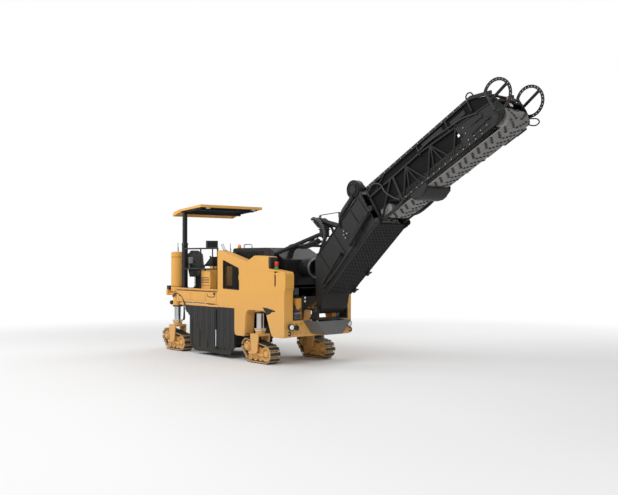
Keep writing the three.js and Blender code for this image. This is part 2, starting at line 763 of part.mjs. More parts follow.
const lowerRollers = [
  { x: 330, z: foldH + 115, radius: 75 },
  { x: foldS - 160, z: foldH + 115, radius: 75 },
];
const taperedGap = 0.8; // at the shafts' ends, where the side walls lean
const lowerShaft = lowerRollers.map((roller) => {
  const share = (roller.x - 35) / foldS;
  const widening = THREE.MathUtils.lerp(lower.tailHalf, lower.foldHalf, share) / lower.foldHalf;
  return (lower.foldHalf - lower.wall) * widening - taperedGap;
});
add("belt_lower", beltLoop(lowerRollers, upper.beltHalf, lowerShaft), BELT, lowerSection);

// The blower on top of the lower section, near the fold.
function dustBlower() {
  const centre = [2490, lowerTop + 309];
  const base = lowerTop + GAP;
  return join(
    crossBar(centre[0], -330, -170, centre[1], 185, 24),
    crossBar(centre[0], -345, -325, centre[1], 90, 16),
    box(centre[0] - 110, centre[0] + 110, -320, -180, base, centre[1]),
  );
}
add("dust_blower", dustBlower(), BLACK, lowerSection);

// ---------------------------------------------------------------- upper conveyor section
const upperSection = new THREE.Group();
upperSection.position.set(foldPivot.x, 0, foldPivot.z);
upperSection.rotation.y = -headSlope;
machine.add(upperSection);

function upperSide(y0, y1) {
  const { chordLow, chordHigh, length } = upper;
  const rearAt = (h) => Math.max(0, h) * -mitreLean + mitreGap / 2;
  const outline = [
    [rearAt(-20) + 20, -20],
    [520, -20],
    [760, 40],
    [length, 40],
    [length + 190, 120],
    [length + 240, 400],
    [length + 120, 640],
    [length - 300, chordHigh],
    [rearAt(chordHigh), chordHigh],
  ];
  // Each bay of the truss has one diagonal, with a three-cornered window on either side of it.
  const low = chordLow + 60;
  const high = 560;
  const bays = 7;
  const first = 330;
  const bay = (2700 - first) / bays;
  const edge = 22;
  const windows = [];
  for (let i = 0; i < bays; i += 1) {
    const flip = (s) => (i % 2 === 0 ? first + i * bay + s : first + (i + 1) * bay - s);
    windows.push([
      [flip(edge), low],
      [flip(bay - 2 * edge), low],
      [flip(edge), high - 2 * edge],
    ]);
    windows.push([
      [flip(bay - edge), low + 2 * edge],
      [flip(bay - edge), high],
      [flip(2 * edge), high],
    ]);
  }
  return cut(plate(outline, y0, y1), ...windows.map((window) => plate(window, y0 - 1, y1 + 1)));
}

// A hoop that guards the head on one side: an arc closed by a straight bar, on two stays.
function guardRing(side) {
  const centre = [upper.length + 265, 405];
  const outer = 300;
  const band = 50;
  const facing = 0.05; // radians, the direction that the middle of the arc faces
  const halfAngle = 2.3;
  const innerHalfAngle = Math.acos((outer * Math.cos(halfAngle) + band) / (outer - band));
  const arc = (radius, half) => {
    const shape = new THREE.Shape();
    shape.absarc(centre[0], centre[1], radius, facing - half, facing + half);
    return shape;
  };
  const y = side * 480;
  const hoop = cut(
    plate(arc(outer, halfAngle), y - 10, y + 10),
    plate(arc(outer - band, innerHalfAngle), y - 11, y + 11),
  );
  const frameSide = side * (upper.half - 5);
  const stayAt = (s, h) => crossBar(s, Math.min(frameSide, y), Math.max(frameSide, y), h, 16, 8);
  return [hoop, stayAt(centre[0] - 182, 536), stayAt(centre[0] - 167, 246)];
}

function upperFrame() {
  const inner = upper.half - upper.wall;
  const pieces = [upperSide(inner, upper.half), upperSide(-upper.half, -inner)];
  for (const s of [300, 1050, 1800, 2550]) pieces.push(crossBar(s, -inner - 5, inner + 5, 740, 25, 8));
  for (const s of [700, 1500, 2300]) pieces.push(crossBar(s, -inner - 5, inner + 5, 90, 25, 8));
  for (const side of [-1, 1]) {
    pieces.push(crossBar(0, ...onSide(side, inner, upper.half), 0, 50, 20));
    pieces.push(crossBar(0, ...onSide(side, upper.half - 20, lower.foldHalf - GAP), 0, foldPin.radius, 16));
    pieces.push(crossBar(foldCylinder.eyeS, ...onSide(side, upper.half - 20, foldCylinder.y + 45), foldCylinder.eyeH, foldCylinder.pin, 12));
  }
  // The belt drive on the head's left, and the pipe that feeds it along the frame's side.
  pieces.push(box(upper.length - 260, upper.length - 20, upper.half - 5, 520, 0, 190));
  const pipeY = upper.half + 110;
  pieces.push(bar([60, pipeY, 140], [upper.length - 250, pipeY, 95], 24, 8));
  for (const s of [300, 1150, 2000, 2850]) {
    const h = THREE.MathUtils.mapLinear(s, 60, upper.length - 250, 140, 95);
    pieces.push(crossBar(s, upper.half - 10, pipeY, h, 14, 8));
  }
  pieces.push(...guardRing(1), ...guardRing(-1));
  return join(...pieces);
}
add("conveyor_upper", upperFrame(), BLACK, upperSection);

const upperRollers = [
  { x: 200, z: 150, radius: 140 },
  { x: headPulley.s, z: headPulley.h, radius: headPulley.radius },
];
const upperShaft = upper.half - upper.wall - GAP;
add("belt_upper", beltLoop(upperRollers, upper.beltHalf, [upperShaft, upperShaft]), BELT, upperSection);

// ---------------------------------------------------------------- hydraulic cylinders
// Each lies along its own X axis, from the pin at its base to the eye on its rod, with both pins along Y.
function placed(fromX, fromZ, toX, toZ, y) {
  const group = new THREE.Group();
  group.position.set(fromX, y, fromZ);
  group.rotation.y = -Math.atan2(toZ - fromZ, toX - fromX);
  machine.add(group);
  return { group, length: Math.hypot(toX - fromX, toZ - fromZ) };
}

function barrelSolid({ barrel, rod }, boreStart, end) {
  return cut(
    join(bar([20, 0, 0], [end, 0, 0], barrel, 16), bar([end - 40, 0, 0], [end, 0, 0], barrel + 6, 16)),
    bar([boreStart, 0, 0], [end + 1, 0, 0], rod + PIN_PLAY, 16),
  );
}

function rodSolid({ rod, pin, slack, barrel }, start, length) {
  const eye = pin + slack + 18;
  const half = barrel * 0.7;
  return cut(
    join(bar([start, 0, 0], [length - pin - slack - 4, 0, 0], rod, 16), crossBar(length, -half, half, 0, eye, 20)),
    crossBar(length, -half - 1, half + 1, 0, pin + slack, 20),
  );
}

const luffEye = onLower(luffEyeS, luffEyeH);
const luff = placed(luffCylinder.baseX, luffCylinder.baseZ, luffEye.x, luffEye.z, 0);
add(
  "luff_barrel",
  join(
    barrelSolid(luffCylinder, 220, 800),
    crossBar(0, -60, 60, 0, 50, 16),
    crossBar(0, -108, 108, 0, luffBasePin, 16),
  ),
  BLACK,
  luff.group,
);
add("luff_rod", rodSolid(luffCylinder, 360, luff.length), STEEL, luff.group);

const foldEyeX = foldPivot.x + foldCylinder.eyeS * Math.cos(headSlope) - foldCylinder.eyeH * Math.sin(headSlope);
const foldEyeZ = foldPivot.z + foldCylinder.eyeS * Math.sin(headSlope) + foldCylinder.eyeH * Math.cos(headSlope);
for (const [sideName, side] of [
  ["l", 1],
  ["r", -1],
]) {
  const { y, pin } = foldCylinder;
  const base = onLower(foldBaseS, foldBaseH);
  const fold = placed(base.x, base.z, foldEyeX, foldEyeZ, side * y);
  const barrel = cut(
    join(barrelSolid(foldCylinder, 470, 810), crossBar(0, -25, 25, 0, 40, 16)),
    crossBar(0, -26, 26, 0, pin + PIN_PLAY, 12),
  );
  add(`fold_barrel_${sideName}`, barrel, BLACK, fold.group);
  add(`fold_rod_${sideName}`, rodSolid(foldCylinder, 500, fold.length), STEEL, fold.group);
}

// ---------------------------------------------------------------- canopy
const socket = { half: 55, bottom: deck.top + GAP, top: 2750, bore: mast.width / 2 + PIN_PLAY };
const roofTop = [
  [canopy.rear, 3490],
  [canopy.rear + 60, 3550],
  [canopy.rear + 300, 3605],
  [canopy.front, 3690],
];
const roofUnder = roofTop.map(([x, z]) => [x, z - 30]);
// The height of the roof's flat underside at a place along it.
const underRoofAt = (x) =>
  THREE.MathUtils.mapLinear(x, roofUnder[2][0], roofUnder[3][0], roofUnder[2][1], roofUnder[3][1]);

function canopyRoof() {
  const skirt = [
    ...roofTop,
    [canopy.front, 3625],
    [canopy.rear + 380, 3555],
    [canopy.rear, 3440],
  ].reverse();
  const hollow = [
    [canopy.rear + 30, 3300],
    [canopy.front - 30, 3300],
    [canopy.front - 30, underRoofAt(canopy.front - 30)],
    roofUnder[2],
    [canopy.rear + 90, roofUnder[1][1]],
    [canopy.rear + 30, roofUnder[0][1]],
  ];
  const inner = canopy.halfWidth - 25;
  return cut(plate(skirt, -canopy.halfWidth, canopy.halfWidth), plate(hollow, -inner, inner));
}
add("canopy_roof", canopyRoof(), YELLOW);

// The mast's inner tube, with the arm that carries the roof.
function canopyMast() {
  const half = mast.width / 2;
  const armRear = canopy.rear + 330;
  const armFront = canopy.front - 120;
  const arm = [
    [armRear, underRoofAt(armRear) - 60],
    [armFront, underRoofAt(armFront) - 60],
    [armFront, underRoofAt(armFront) - GAP],
    [armRear, underRoofAt(armRear) - GAP],
  ];
  const underRoof = underRoofAt(mast.x - half) - 40;
  const underRoofFront = underRoofAt(canopy.front - 320);
  return join(
    box(mast.x - half, mast.x + half, mast.y - half, mast.y + half, 2340, underRoof),
    plate(arm, mast.y - 30, mast.y + 30),
    plate(arm, -mast.y - 60, -mast.y),
    box(mast.x - 30, mast.x + 30, mast.y, -mast.y - 10, underRoof - 60, underRoof),
    box(canopy.front - 320, canopy.front - 260, mast.y, -mast.y - 10, underRoofFront - 70, underRoofFront - 10),
  );
}
add("canopy_mast", canopyMast(), BLACK);

function mastSocket() {
  const { half, bottom, top, bore } = socket;
  return cut(
    join(
      box(mast.x - half, mast.x + half, mast.y - half, mast.y + half, bottom, top),
      box(mast.x - half, mast.x + half + 20, mast.y - half, mast.y + half + 60, bottom, bottom + 15),
    ),
    box(mast.x - bore, mast.x + bore, mast.y - bore, mast.y + bore, bottom + 30, top + 1),
  );
}
add("mast_socket", mastSocket(), BLACK);

// ---------------------------------------------------------------- operator's place
const onDeck = deck.top + GAP;

function operatorSeat() {
  const x = deck.rear + 260;
  const y = -430;
  return join(
    box(x - 100, x + 150, y - 130, y + 130, onDeck, onDeck + 320),
    box(x - 200, x + 270, y - 240, y + 240, onDeck + 300, onDeck + 430),
    plate(
      [
        [x - 230, onDeck + 380],
        [x - 110, onDeck + 380],
        [x - 200, onDeck + 930],
        [x - 290, onDeck + 930],
      ],
      y - 230,
      y + 230,
    ),
    box(x - 180, x + 150, y - 290, y - 245, onDeck + 560, onDeck + 610),
    box(x - 170, x - 120, y - 290, y - 200, onDeck + 400, onDeck + 600),
    box(x - 180, x + 150, y + 245, y + 290, onDeck + 560, onDeck + 610),
    box(x - 170, x - 120, y + 200, y + 290, onDeck + 400, onDeck + 600),
  );
}
add("operator_seat", operatorSeat(), SEAT);

function controlConsole() {
  const x = deck.rear + 880;
  return join(
    box(x, x + 160, -560, 420, onDeck, onDeck + 620),
    plate(
      [
        [x - 140, onDeck + 610],
        [x + 170, onDeck + 610],
        [x + 170, onDeck + 800],
        [x + 100, onDeck + 800],
      ],
      -600,
      460,
    ),
    post(x + 60, -520, onDeck + 700, onDeck + 1050, 16, 8),
    box(x + 30, x + 80, -680, -380, onDeck + 1010, onDeck + 1190),
  );
}
add("control_console", controlConsole(), BLACK);

function handrail() {
  const y = deck.halfWidth - 35;
  const rear = deck.rear + 320;
  const front = deck.front - 60;
  const top = onDeck + 1000;
  const posts = [rear, (rear + front) / 2, front].map((x) => post(x, y, onDeck, top, 19, 8));
  return join(
    ...posts,
    bar([rear - 19, y, top], [front + 19, y, top], 19, 8),
    bar([rear, y, onDeck + 500], [front, y, onDeck + 500], 16, 8),
  );
}
add("handrail_l", handrail(), BLACK);
add("handrail_r", mirrored(handrail()), BLACK);

// ---------------------------------------------------------------- rear and left-hand fittings
function beltDriveCover() {
  const y0 = rail.outer + GAP;
  const shape = new THREE.Shape();
  shape.absarc(cutter.x + 60, 760, 330, Math.PI / 2, (Math.PI * 3) / 2);
  shape.absarc(-1250, 820, 270, -Math.PI / 2, Math.PI / 2);
  return join(
    plate(shape, rail.outer + 40, 940),
    box(cutter.x - 150, -1100, y0, rail.outer + 50, 1000, deck.bottom - RUN),
  );
}
add("belt_drive_cover", beltDriveCover(), BLACK);

function rearBumper() {
  const rear = rail.rear - GAP;
  const pieces = [box(rear - 90, rear, -620, 620, rail.bottom + 20, rail.top - 20)];
  for (const side of [-1, 1]) {
    pieces.push(box(rear - 90, rear - 40, ...onSide(side, 560, 860), rail.bottom + 120, rail.top - 20));
    pieces.push(box(rear - 260, rear - 60, ...onSide(side, 780, 860), rail.top - 60, rail.top - 30));
    pieces.push(box(rear - 300, rear - 220, ...onSide(side, 740, 900), rail.top - 80, rail.top + 70));
  }
  return join(...pieces);
}
add("rear_bumper", rearBumper(), BLACK);

machine.updateMatrixWorld(true);
const extent = new THREE.Box3().setFromObject(machine, true);
machine.position.x = -(extent.min.x + extent.max.x) / 2;

export default machine;
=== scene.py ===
"""Compact cold planer with a folding loading conveyor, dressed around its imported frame."""

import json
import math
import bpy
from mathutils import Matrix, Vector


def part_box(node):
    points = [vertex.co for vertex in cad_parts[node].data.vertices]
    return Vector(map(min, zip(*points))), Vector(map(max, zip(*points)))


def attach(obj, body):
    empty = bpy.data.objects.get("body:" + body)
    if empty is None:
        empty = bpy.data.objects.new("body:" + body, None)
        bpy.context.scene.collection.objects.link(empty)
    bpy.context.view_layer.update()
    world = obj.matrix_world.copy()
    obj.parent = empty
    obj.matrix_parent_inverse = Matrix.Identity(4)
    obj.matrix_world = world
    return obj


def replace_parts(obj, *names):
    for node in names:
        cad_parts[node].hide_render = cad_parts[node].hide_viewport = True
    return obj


bl_info = {
    "name": "Compact Cold Planer",
    "version": (1, 0, 0),
    "blender": (4, 5, 0),
    "location": "View3D > Sidebar > Planer",
    "description": "Dresses the packed frame of a compact cold planer",
    "category": "Add Mesh",
}

import bmesh
import bpy
from mathutils import Matrix, Vector
from mathutils.geometry import tessellate_polygon

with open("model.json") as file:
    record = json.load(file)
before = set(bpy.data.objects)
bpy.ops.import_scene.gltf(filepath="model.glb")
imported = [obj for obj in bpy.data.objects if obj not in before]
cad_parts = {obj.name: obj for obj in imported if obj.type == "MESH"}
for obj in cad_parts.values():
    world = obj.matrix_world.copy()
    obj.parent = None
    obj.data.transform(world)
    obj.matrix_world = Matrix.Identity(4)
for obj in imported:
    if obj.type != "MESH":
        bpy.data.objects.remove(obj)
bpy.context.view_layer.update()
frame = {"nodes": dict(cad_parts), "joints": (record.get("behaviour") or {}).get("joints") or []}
JOINTS = {joint["name"]: joint for joint in frame["joints"]}

MM = 0.001
ORIGIN, ALONG, ACROSS, UP = (0, 0, 0), (1, 0, 0), (0, 1, 0), (0, 0, 1)
CORNERS = ("fl", "fr", "rl", "rr")
SIDES = {"l": 1, "r": -1}
LOWER_SLOPE = 42.5
UPPER_SLOPE = 29.0
SHARPEST_UNBEVELLED = 35  # degrees between faces


# ---------------------------------------------------------------- axes, all in millimetres
def axes_at(place, slope=0.0):
    """Axes in millimetres with their origin at a place in metres, X leaning up by slope degrees."""
    lean = Matrix.Rotation(-math.radians(slope), 4, "Y")
    return Matrix.Translation(place) @ lean @ Matrix.Scale(MM, 4)


def joint_place(name):
    """Where a joint stands at rest, in metres."""
    return Vector(JOINTS[name]["pos_m"])


MACHINE = axes_at((joint_place("steer_fl").x, 0, 0))
MIRRORED = MACHINE @ Matrix.Scale(-1, 4, ACROSS)
LOWER = axes_at(joint_place("conveyor_luff"), LOWER_SLOPE)
UPPER = axes_at(joint_place("conveyor_fold"), UPPER_SLOPE)
LEG = {corner: axes_at(joint_place("steer_" + corner) * Vector((1, 1, 0))) for corner in CORNERS}


def side_axes(side):
    """The machine's axes for its left side, or their mirror image for its right."""
    return MACHINE if side == "l" else MIRRORED


# ---------------------------------------------------------------- shapes
def circle(centre, axis, radius, sides):
    """Points around a circle that faces along an axis."""
    axis = Vector(axis).normalized()
    across = axis.orthogonal().normalized()
    up = axis.cross(across)
    turns = [2 * math.pi * i / sides for i in range(sides)]
    return [Vector(centre) + radius * (math.cos(t) * across + math.sin(t) * up) for t in turns]


def smooth_path(points, steps=6):
    """A Catmull-Rom curve through points, with its ends included."""
    points = [Vector(point) for point in points]
    padded = [2 * points[0] - points[1], *points, 2 * points[-1] - points[-2]]
    path = []
    for a, b, c, d in zip(padded, padded[1:], padded[2:], padded[3:]):
        for i in range(steps):
            t = i / steps
            slope = (c - a) * t
            bend = (2 * a - 5 * b + 4 * c - d) * t**2
            twist = (3 * b - a - 3 * c + d) * t**3
            path.append(0.5 * (2 * b + slope + bend + twist))
    return [*path, points[-1]]


def spread(low, high, count):
    """Evenly spaced numbers from low to high."""
    return [low + (high - low) * i / (count - 1) for i in range(count)]


class Form:
    """A mesh in the making, in the millimetres of its own axes."""

    def __init__(self, axes=MACHINE):
        self.mesh = bmesh.new()
        self.axes = axes

    def loft(self, rings, closed=False):
        """Skins rings of equal length, with flat ends unless the row of rings closes on itself."""
        rows = [[self.mesh.verts.new(point) for point in ring] for ring in rings]
        following = rows[1:] + rows[:1] if closed else rows[1:]
        for here, there in zip(rows, following):
            for i in range(len(here)):
                j = (i + 1) % len(here)
                self.mesh.faces.new((here[i], here[j], there[j], there[i]))
        if not closed:
            self.mesh.faces.new(rows[0][::-1])
            self.mesh.faces.new(rows[-1])
        return self

    def block(self, x, y, z):
        """A box from three pairs of limits."""
        corners = [(x[0], y[0]), (x[1], y[0]), (x[1], y[1]), (x[0], y[1])]
        return self.loft([[(a, b, c) for a, b in corners] for c in z])

    def bar(self, start, end, radius, sides=12):
        """A round bar between two points."""
        return self.loft([circle(at, Vector(end) - Vector(start), radius, sides) for at in (start, end)])

    def turned(self, profile, centre, axis=ACROSS, sides=28, hollow=False):
        """A solid of revolution from (radius, distance along the axis) pairs."""
        axis = Vector(axis).normalized()
        rings = [
            circle(Vector(centre) + axis * along, axis, max(radius, 0.5), sides) for radius, along in profile
        ]
        return self.loft(rings, closed=hollow)

    def hose(self, points, radius, sides=10, steps=6, ripple=0.0):
        """A round tube along a smooth curve, corrugated where ripple is a share of its radius."""
        path = smooth_path(points, steps)
        across = (path[1] - path[0]).orthogonal().normalized()
        rings = []
        for i, point in enumerate(path):
            ahead = (path[min(i + 1, len(path) - 1)] - path[max(i - 1, 0)]).normalized()
            across = (across - ahead * across.dot(ahead)).normalized()
            up = ahead.cross(across)
            turns = [2 * math.pi * k / sides for k in range(sides)]
            girth = radius * (1 + ripple * (-1) ** i)
            rings.append([point + girth * (math.cos(t) * across + math.sin(t) * up) for t in turns])
        return self.loft(rings)

    def plate(self, outline, near, far, facing="y", holes=()):
        """A flat plate from its outline, seen along one axis, with holes right through it."""
        placed = {
            "x": lambda a, b, depth: (depth, a, b),
            "y": lambda a, b, depth: (a, depth, b),
            "z": lambda a, b, depth: (a, b, depth),
        }[facing]
        loops = [list(outline), *[list(hole) for hole in holes]]
        rows = []
        for depth in (near, far):
            rows.append([[self.mesh.verts.new(placed(a, b, depth)) for a, b in loop] for loop in loops])
        for low, high in zip(*rows):
            for i in range(len(low)):
                j = (i + 1) % len(low)
                self.mesh.faces.new((low[i], low[j], high[j], high[i]))
        if not holes:
            self.mesh.faces.new(rows[0][0][::-1])
            self.mesh.faces.new(rows[1][0])
            return self
        corners = tessellate_polygon([[Vector((a, b, 0)) for a, b in loop] for loop in loops])
        for row in rows:
            flat = [vert for loop in row for vert in loop]
            for triangle in corners:
                self.mesh.faces.new([flat[i] for i in triangle])
        return self

    def bolts(self, places, facing, width=30, height=14):
        """Chamfered hexagon heads, sunk 2 mm into a surface that faces along an axis."""
        facing = Vector(facing).normalized()
        for place in places:
            base = Vector(place)
            foot = circle(base - facing * 2, facing, width / 2, 6)
            shoulder = circle(base + facing * height * 0.75, facing, width / 2, 6)
            crown = circle(base + facing * height, facing, width * 0.4, 6)
            self.loft([foot, shoulder, crown])
        return self

    def piece(self, name, finish, body="chassis", bevel=0.0, smooth=40):
        """Ends the shape as an object of one finish that rides on a body."""
        bmesh.ops.recalc_face_normals(self.mesh, faces=self.mesh.faces)
        data = bpy.data.meshes.new(name)
        self.mesh.to_mesh(data)
        self.mesh.free()
        data.transform(self.axes)
        if self.axes.determinant() < 0:
            data.flip_normals()
        data.materials.append(FINISH[finish])
        data.shade_smooth()
        data.set_sharp_from_angle(angle=math.radians(smooth))
        part = bpy.data.objects.new(name, data)
        bpy.context.scene.collection.objects.link(part)
        if bevel:
            edge = part.modifiers.new("edge", "BEVEL")
            edge.width = bevel * MM
            edge.segments = 2
            edge.limit_method = "ANGLE"
            edge.angle_limit = math.radians(SHARPEST_UNBEVELLED)
        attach(part, body)
        return part


# ---------------------------------------------------------------- finishes
def linear(colour):
    """An sRGB hex colour as linear RGBA."""
    parts = [int(colour[i : i + 2], 16) / 255 for i in (1, 3, 5)]
    return (*[c / 12.92 if c <= 0.04045 else ((c + 0.055) / 1.055) ** 2.4 for c in parts], 1.0)


def per_mm(size):
    """A texture scale whose features are about this many millimetres across."""
    return 1000 / size


def add(tree, kind, inputs=(), **settings):
    """Adds a node with its settings, and gives its sockets values or links."""
    node = tree.nodes.new(kind)
    for name, value in settings.items():
        setattr(node, name, value)
    for key, value in dict(inputs).items():
        if isinstance(value, bpy.types.NodeSocket):
            tree.links.new(value, node.inputs[key])
        else:
            node.inputs[key].default_value = value
    return node


def started(name):
    """A new material, its node tree and its shader."""
    material = bpy.data.materials.new(name)
    material.use_nodes = True
    return material, material.node_tree, material.node_tree.nodes["Principled BSDF"]


def set_shader(shader, colour, roughness, **more):
    """Gives a shader its colour, its roughness and any other socket by name."""
    shader.inputs["Base Color"].default_value = linear(colour)
    shader.inputs["Roughness"].default_value = roughness
    for key, value in more.items():
        shader.inputs[key.replace("_", " ")].default_value = value


FINISH = {}


def sprayed_enamel(name, colour, shade, rubbed_edge_and_highlight, roughness, dust, gloss=0.5):
    """Enamel sprayed on steel: an even coat with slow drifts of shade, faint orange peel, pale dust that
    settles low down, and a thin band along edges: wear where the coat is rubbed through, and a painted edge
    highlight where that band is paler than the coat."""
    material, tree, shader = started(name)
    set_shader(shader, colour, roughness, IOR=1.5, Specular_IOR_Level=gloss)
    place = add(tree, "ShaderNodeTexCoord").outputs["Object"]
    drift = add(tree, "ShaderNodeTexNoise", {"Vector": place, "Scale": per_mm(420), "Detail": 4.0})
    toned = add(
        tree,
        "ShaderNodeMix",
        {"Factor": drift.outputs["Fac"], "A": linear(colour), "B": linear(shade)},
        data_type="RGBA",
    )
    # Splashes of dust are 60 mm across and thin out between 0.2 m and 1.6 m above the ground.
    splash = add(
        tree, "ShaderNodeTexNoise", {"Vector": place, "Scale": per_mm(60), "Detail": 6.0, "Roughness": 0.7}
    )
    height = add(tree, "ShaderNodeSeparateXYZ", {"Vector": place}).outputs["Z"]
    low = add(
        tree,
        "ShaderNodeMapRange",
        {"Value": height, "From Min": 1.6, "From Max": 0.2, "To Min": dust * 0.15, "To Max": dust},
    )
    settled = add(
        tree, "ShaderNodeMath", {0: splash.outputs["Fac"], 1: low.outputs["Result"]}, operation="MULTIPLY"
    )
    dusty = add(
        tree,
        "ShaderNodeMix",
        {"Factor": settled.outputs[0], "A": toned.outputs[2], "B": linear("#b3a58f")},
        data_type="RGBA",
    )
    # A rounded normal differs from the true one only near an edge.
    rounded = add(tree, "ShaderNodeBevel", {"Radius": 0.007}, samples=4)
    true = add(tree, "ShaderNodeNewGeometry").outputs["Normal"]
    facing = add(
        tree, "ShaderNodeVectorMath", {0: rounded.outputs["Normal"], 1: true}, operation="DOT_PRODUCT"
    )
    edge = add(
        tree,
        "ShaderNodeMapRange",
        {"Value": facing.outputs["Value"], "From Min": 0.97, "From Max": 0.75, "To Min": 0.0, "To Max": 0.55},
    )
    scuffs = add(tree, "ShaderNodeTexNoise", {"Vector": place, "Scale": per_mm(35), "Detail": 3.0})
    worn = add(
        tree, "ShaderNodeMath", {0: edge.outputs["Result"], 1: scuffs.outputs["Fac"]}, operation="MULTIPLY"
    )
    # Along edges the coat turns to the rubbed-edge colour: wear, and where that colour is paler than the coat,
    # as on the yellow enamel, a painted edge highlight.
    coat = add(
        tree,
        "ShaderNodeMix",
        {"Factor": worn.outputs[0], "A": dusty.outputs[2], "B": linear(rubbed_edge_and_highlight)},
        data_type="RGBA",
    )
    tree.links.new(coat.outputs[2], shader.inputs["Base Color"])
    sheen = add(
        tree,
        "ShaderNodeMapRange",
        {"Value": splash.outputs["Fac"], "To Min": roughness - 0.06, "To Max": roughness + 0.14},
    )
    tree.links.new(sheen.outputs["Result"], shader.inputs["Roughness"])
    # Real orange peel is 2 mm across; it is drawn at 9 mm so that it still breaks up a highlight.
    peel = add(tree, "ShaderNodeTexNoise", {"Vector": place, "Scale": per_mm(9), "Detail": 2.0})
    bump = add(
        tree,
        "ShaderNodeBump",
        {
            "Height": peel.outputs["Fac"], "Strength": 0.08, "Distance": 0.002,
            "Normal": rounded.outputs["Normal"],
        },
    )
    tree.links.new(bump.outputs["Normal"], shader.inputs["Normal"])
    return material


def moulded_rubber(name, colour, dusty, roughness, grain, depth):
    """Rubber or urethane from a mould: matt, finely pitted and greyed with road dust."""
    material, tree, shader = started(name)
    set_shader(shader, colour, roughness, IOR=1.52)
    place = add(tree, "ShaderNodeTexCoord").outputs["Object"]
    patch = add(
        tree, "ShaderNodeTexNoise", {"Vector": place, "Scale": per_mm(90), "Detail": 8.0, "Roughness": 0.7}
    )
    share = add(
        tree, "ShaderNodeMapRange", {"Value": patch.outputs["Fac"], "From Min": 0.38, "From Max": 0.72}
    )
    mixed = add(
        tree,
        "ShaderNodeMix",
        {"Factor": share.outputs["Result"], "A": linear(colour), "B": linear(dusty)},
        data_type="RGBA",
    )
    tree.links.new(mixed.outputs[2], shader.inputs["Base Color"])
    pits = add(tree, "ShaderNodeTexNoise", {"Vector": place, "Scale": per_mm(grain), "Detail": 3.0})
    bump = add(tree, "ShaderNodeBump", {"Height": pits.outputs["Fac"], "Strength": 0.3, "Distance": depth})
    tree.links.new(bump.outputs["Normal"], shader.inputs["Normal"])
    return material


def worked_metal(name, colour, dull, roughness, streak, stretch=(1, 1, 1)):
    """Bare metal: polished, ground or forged, with streaks of its making in colour and gloss."""
    material, tree, shader = started(name)
    set_shader(shader, colour, roughness, Metallic=1.0)
    place = add(tree, "ShaderNodeTexCoord").outputs["Object"]
    drawn = add(tree, "ShaderNodeMapping", {"Vector": place, "Scale": stretch})
    lines = add(
        tree, "ShaderNodeTexNoise", {"Vector": drawn.outputs[0], "Scale": per_mm(streak), "Detail": 5.0}
    )
    mixed = add(
        tree,
        "ShaderNodeMix",
        {"Factor": lines.outputs["Fac"], "A": linear(colour), "B": linear(dull)},
        data_type="RGBA",
    )
    tree.links.new(mixed.outputs[2], shader.inputs["Base Color"])
    gloss = add(
        tree,
        "ShaderNodeMapRange",
        {"Value": lines.outputs["Fac"], "To Min": roughness * 0.6, "To Max": roughness * 1.6},
    )
    tree.links.new(gloss.outputs["Result"], shader.inputs["Roughness"])
    return material


def moulded_plastic(name, colour, roughness):
    """An injection moulding: one even colour with a spark-eroded grain, drawn at 6 mm to show."""
    material, tree, shader = started(name)
    set_shader(shader, colour, roughness, IOR=1.49)
    place = add(tree, "ShaderNodeTexCoord").outputs["Object"]
    grain = add(tree, "ShaderNodeTexNoise", {"Vector": place, "Scale": per_mm(6), "Detail": 2.0})
    bump = add(tree, "ShaderNodeBump", {"Height": grain.outputs["Fac"], "Strength": 0.1, "Distance": 0.001})
    tree.links.new(bump.outputs["Normal"], shader.inputs["Normal"])
    return material


def grained_vinyl(name, colour):
    """Upholstery vinyl: leather-like cells pressed into a soft PVC face, drawn 12 mm wide to show."""
    material, tree, shader = started(name)
    set_shader(shader, colour, 0.55, IOR=1.52)
    place = add(tree, "ShaderNodeTexCoord").outputs["Object"]
    cells = add(
        tree, "ShaderNodeTexVoronoi", {"Vector": place, "Scale": per_mm(12)}, feature="DISTANCE_TO_EDGE"
    )
    bump = add(
        tree, "ShaderNodeBump", {"Height": cells.outputs["Distance"], "Strength": 0.4, "Distance": 0.002}
    )
    tree.links.new(bump.outputs["Normal"], shader.inputs["Normal"])
    rubbed = add(tree, "ShaderNodeTexNoise", {"Vector": place, "Scale": per_mm(150), "Detail": 3.0})
    sheen = add(tree, "ShaderNodeMapRange", {"Value": rubbed.outputs["Fac"], "To Min": 0.42, "To Max": 0.7})
    tree.links.new(sheen.outputs["Result"], shader.inputs["Roughness"])
    return material


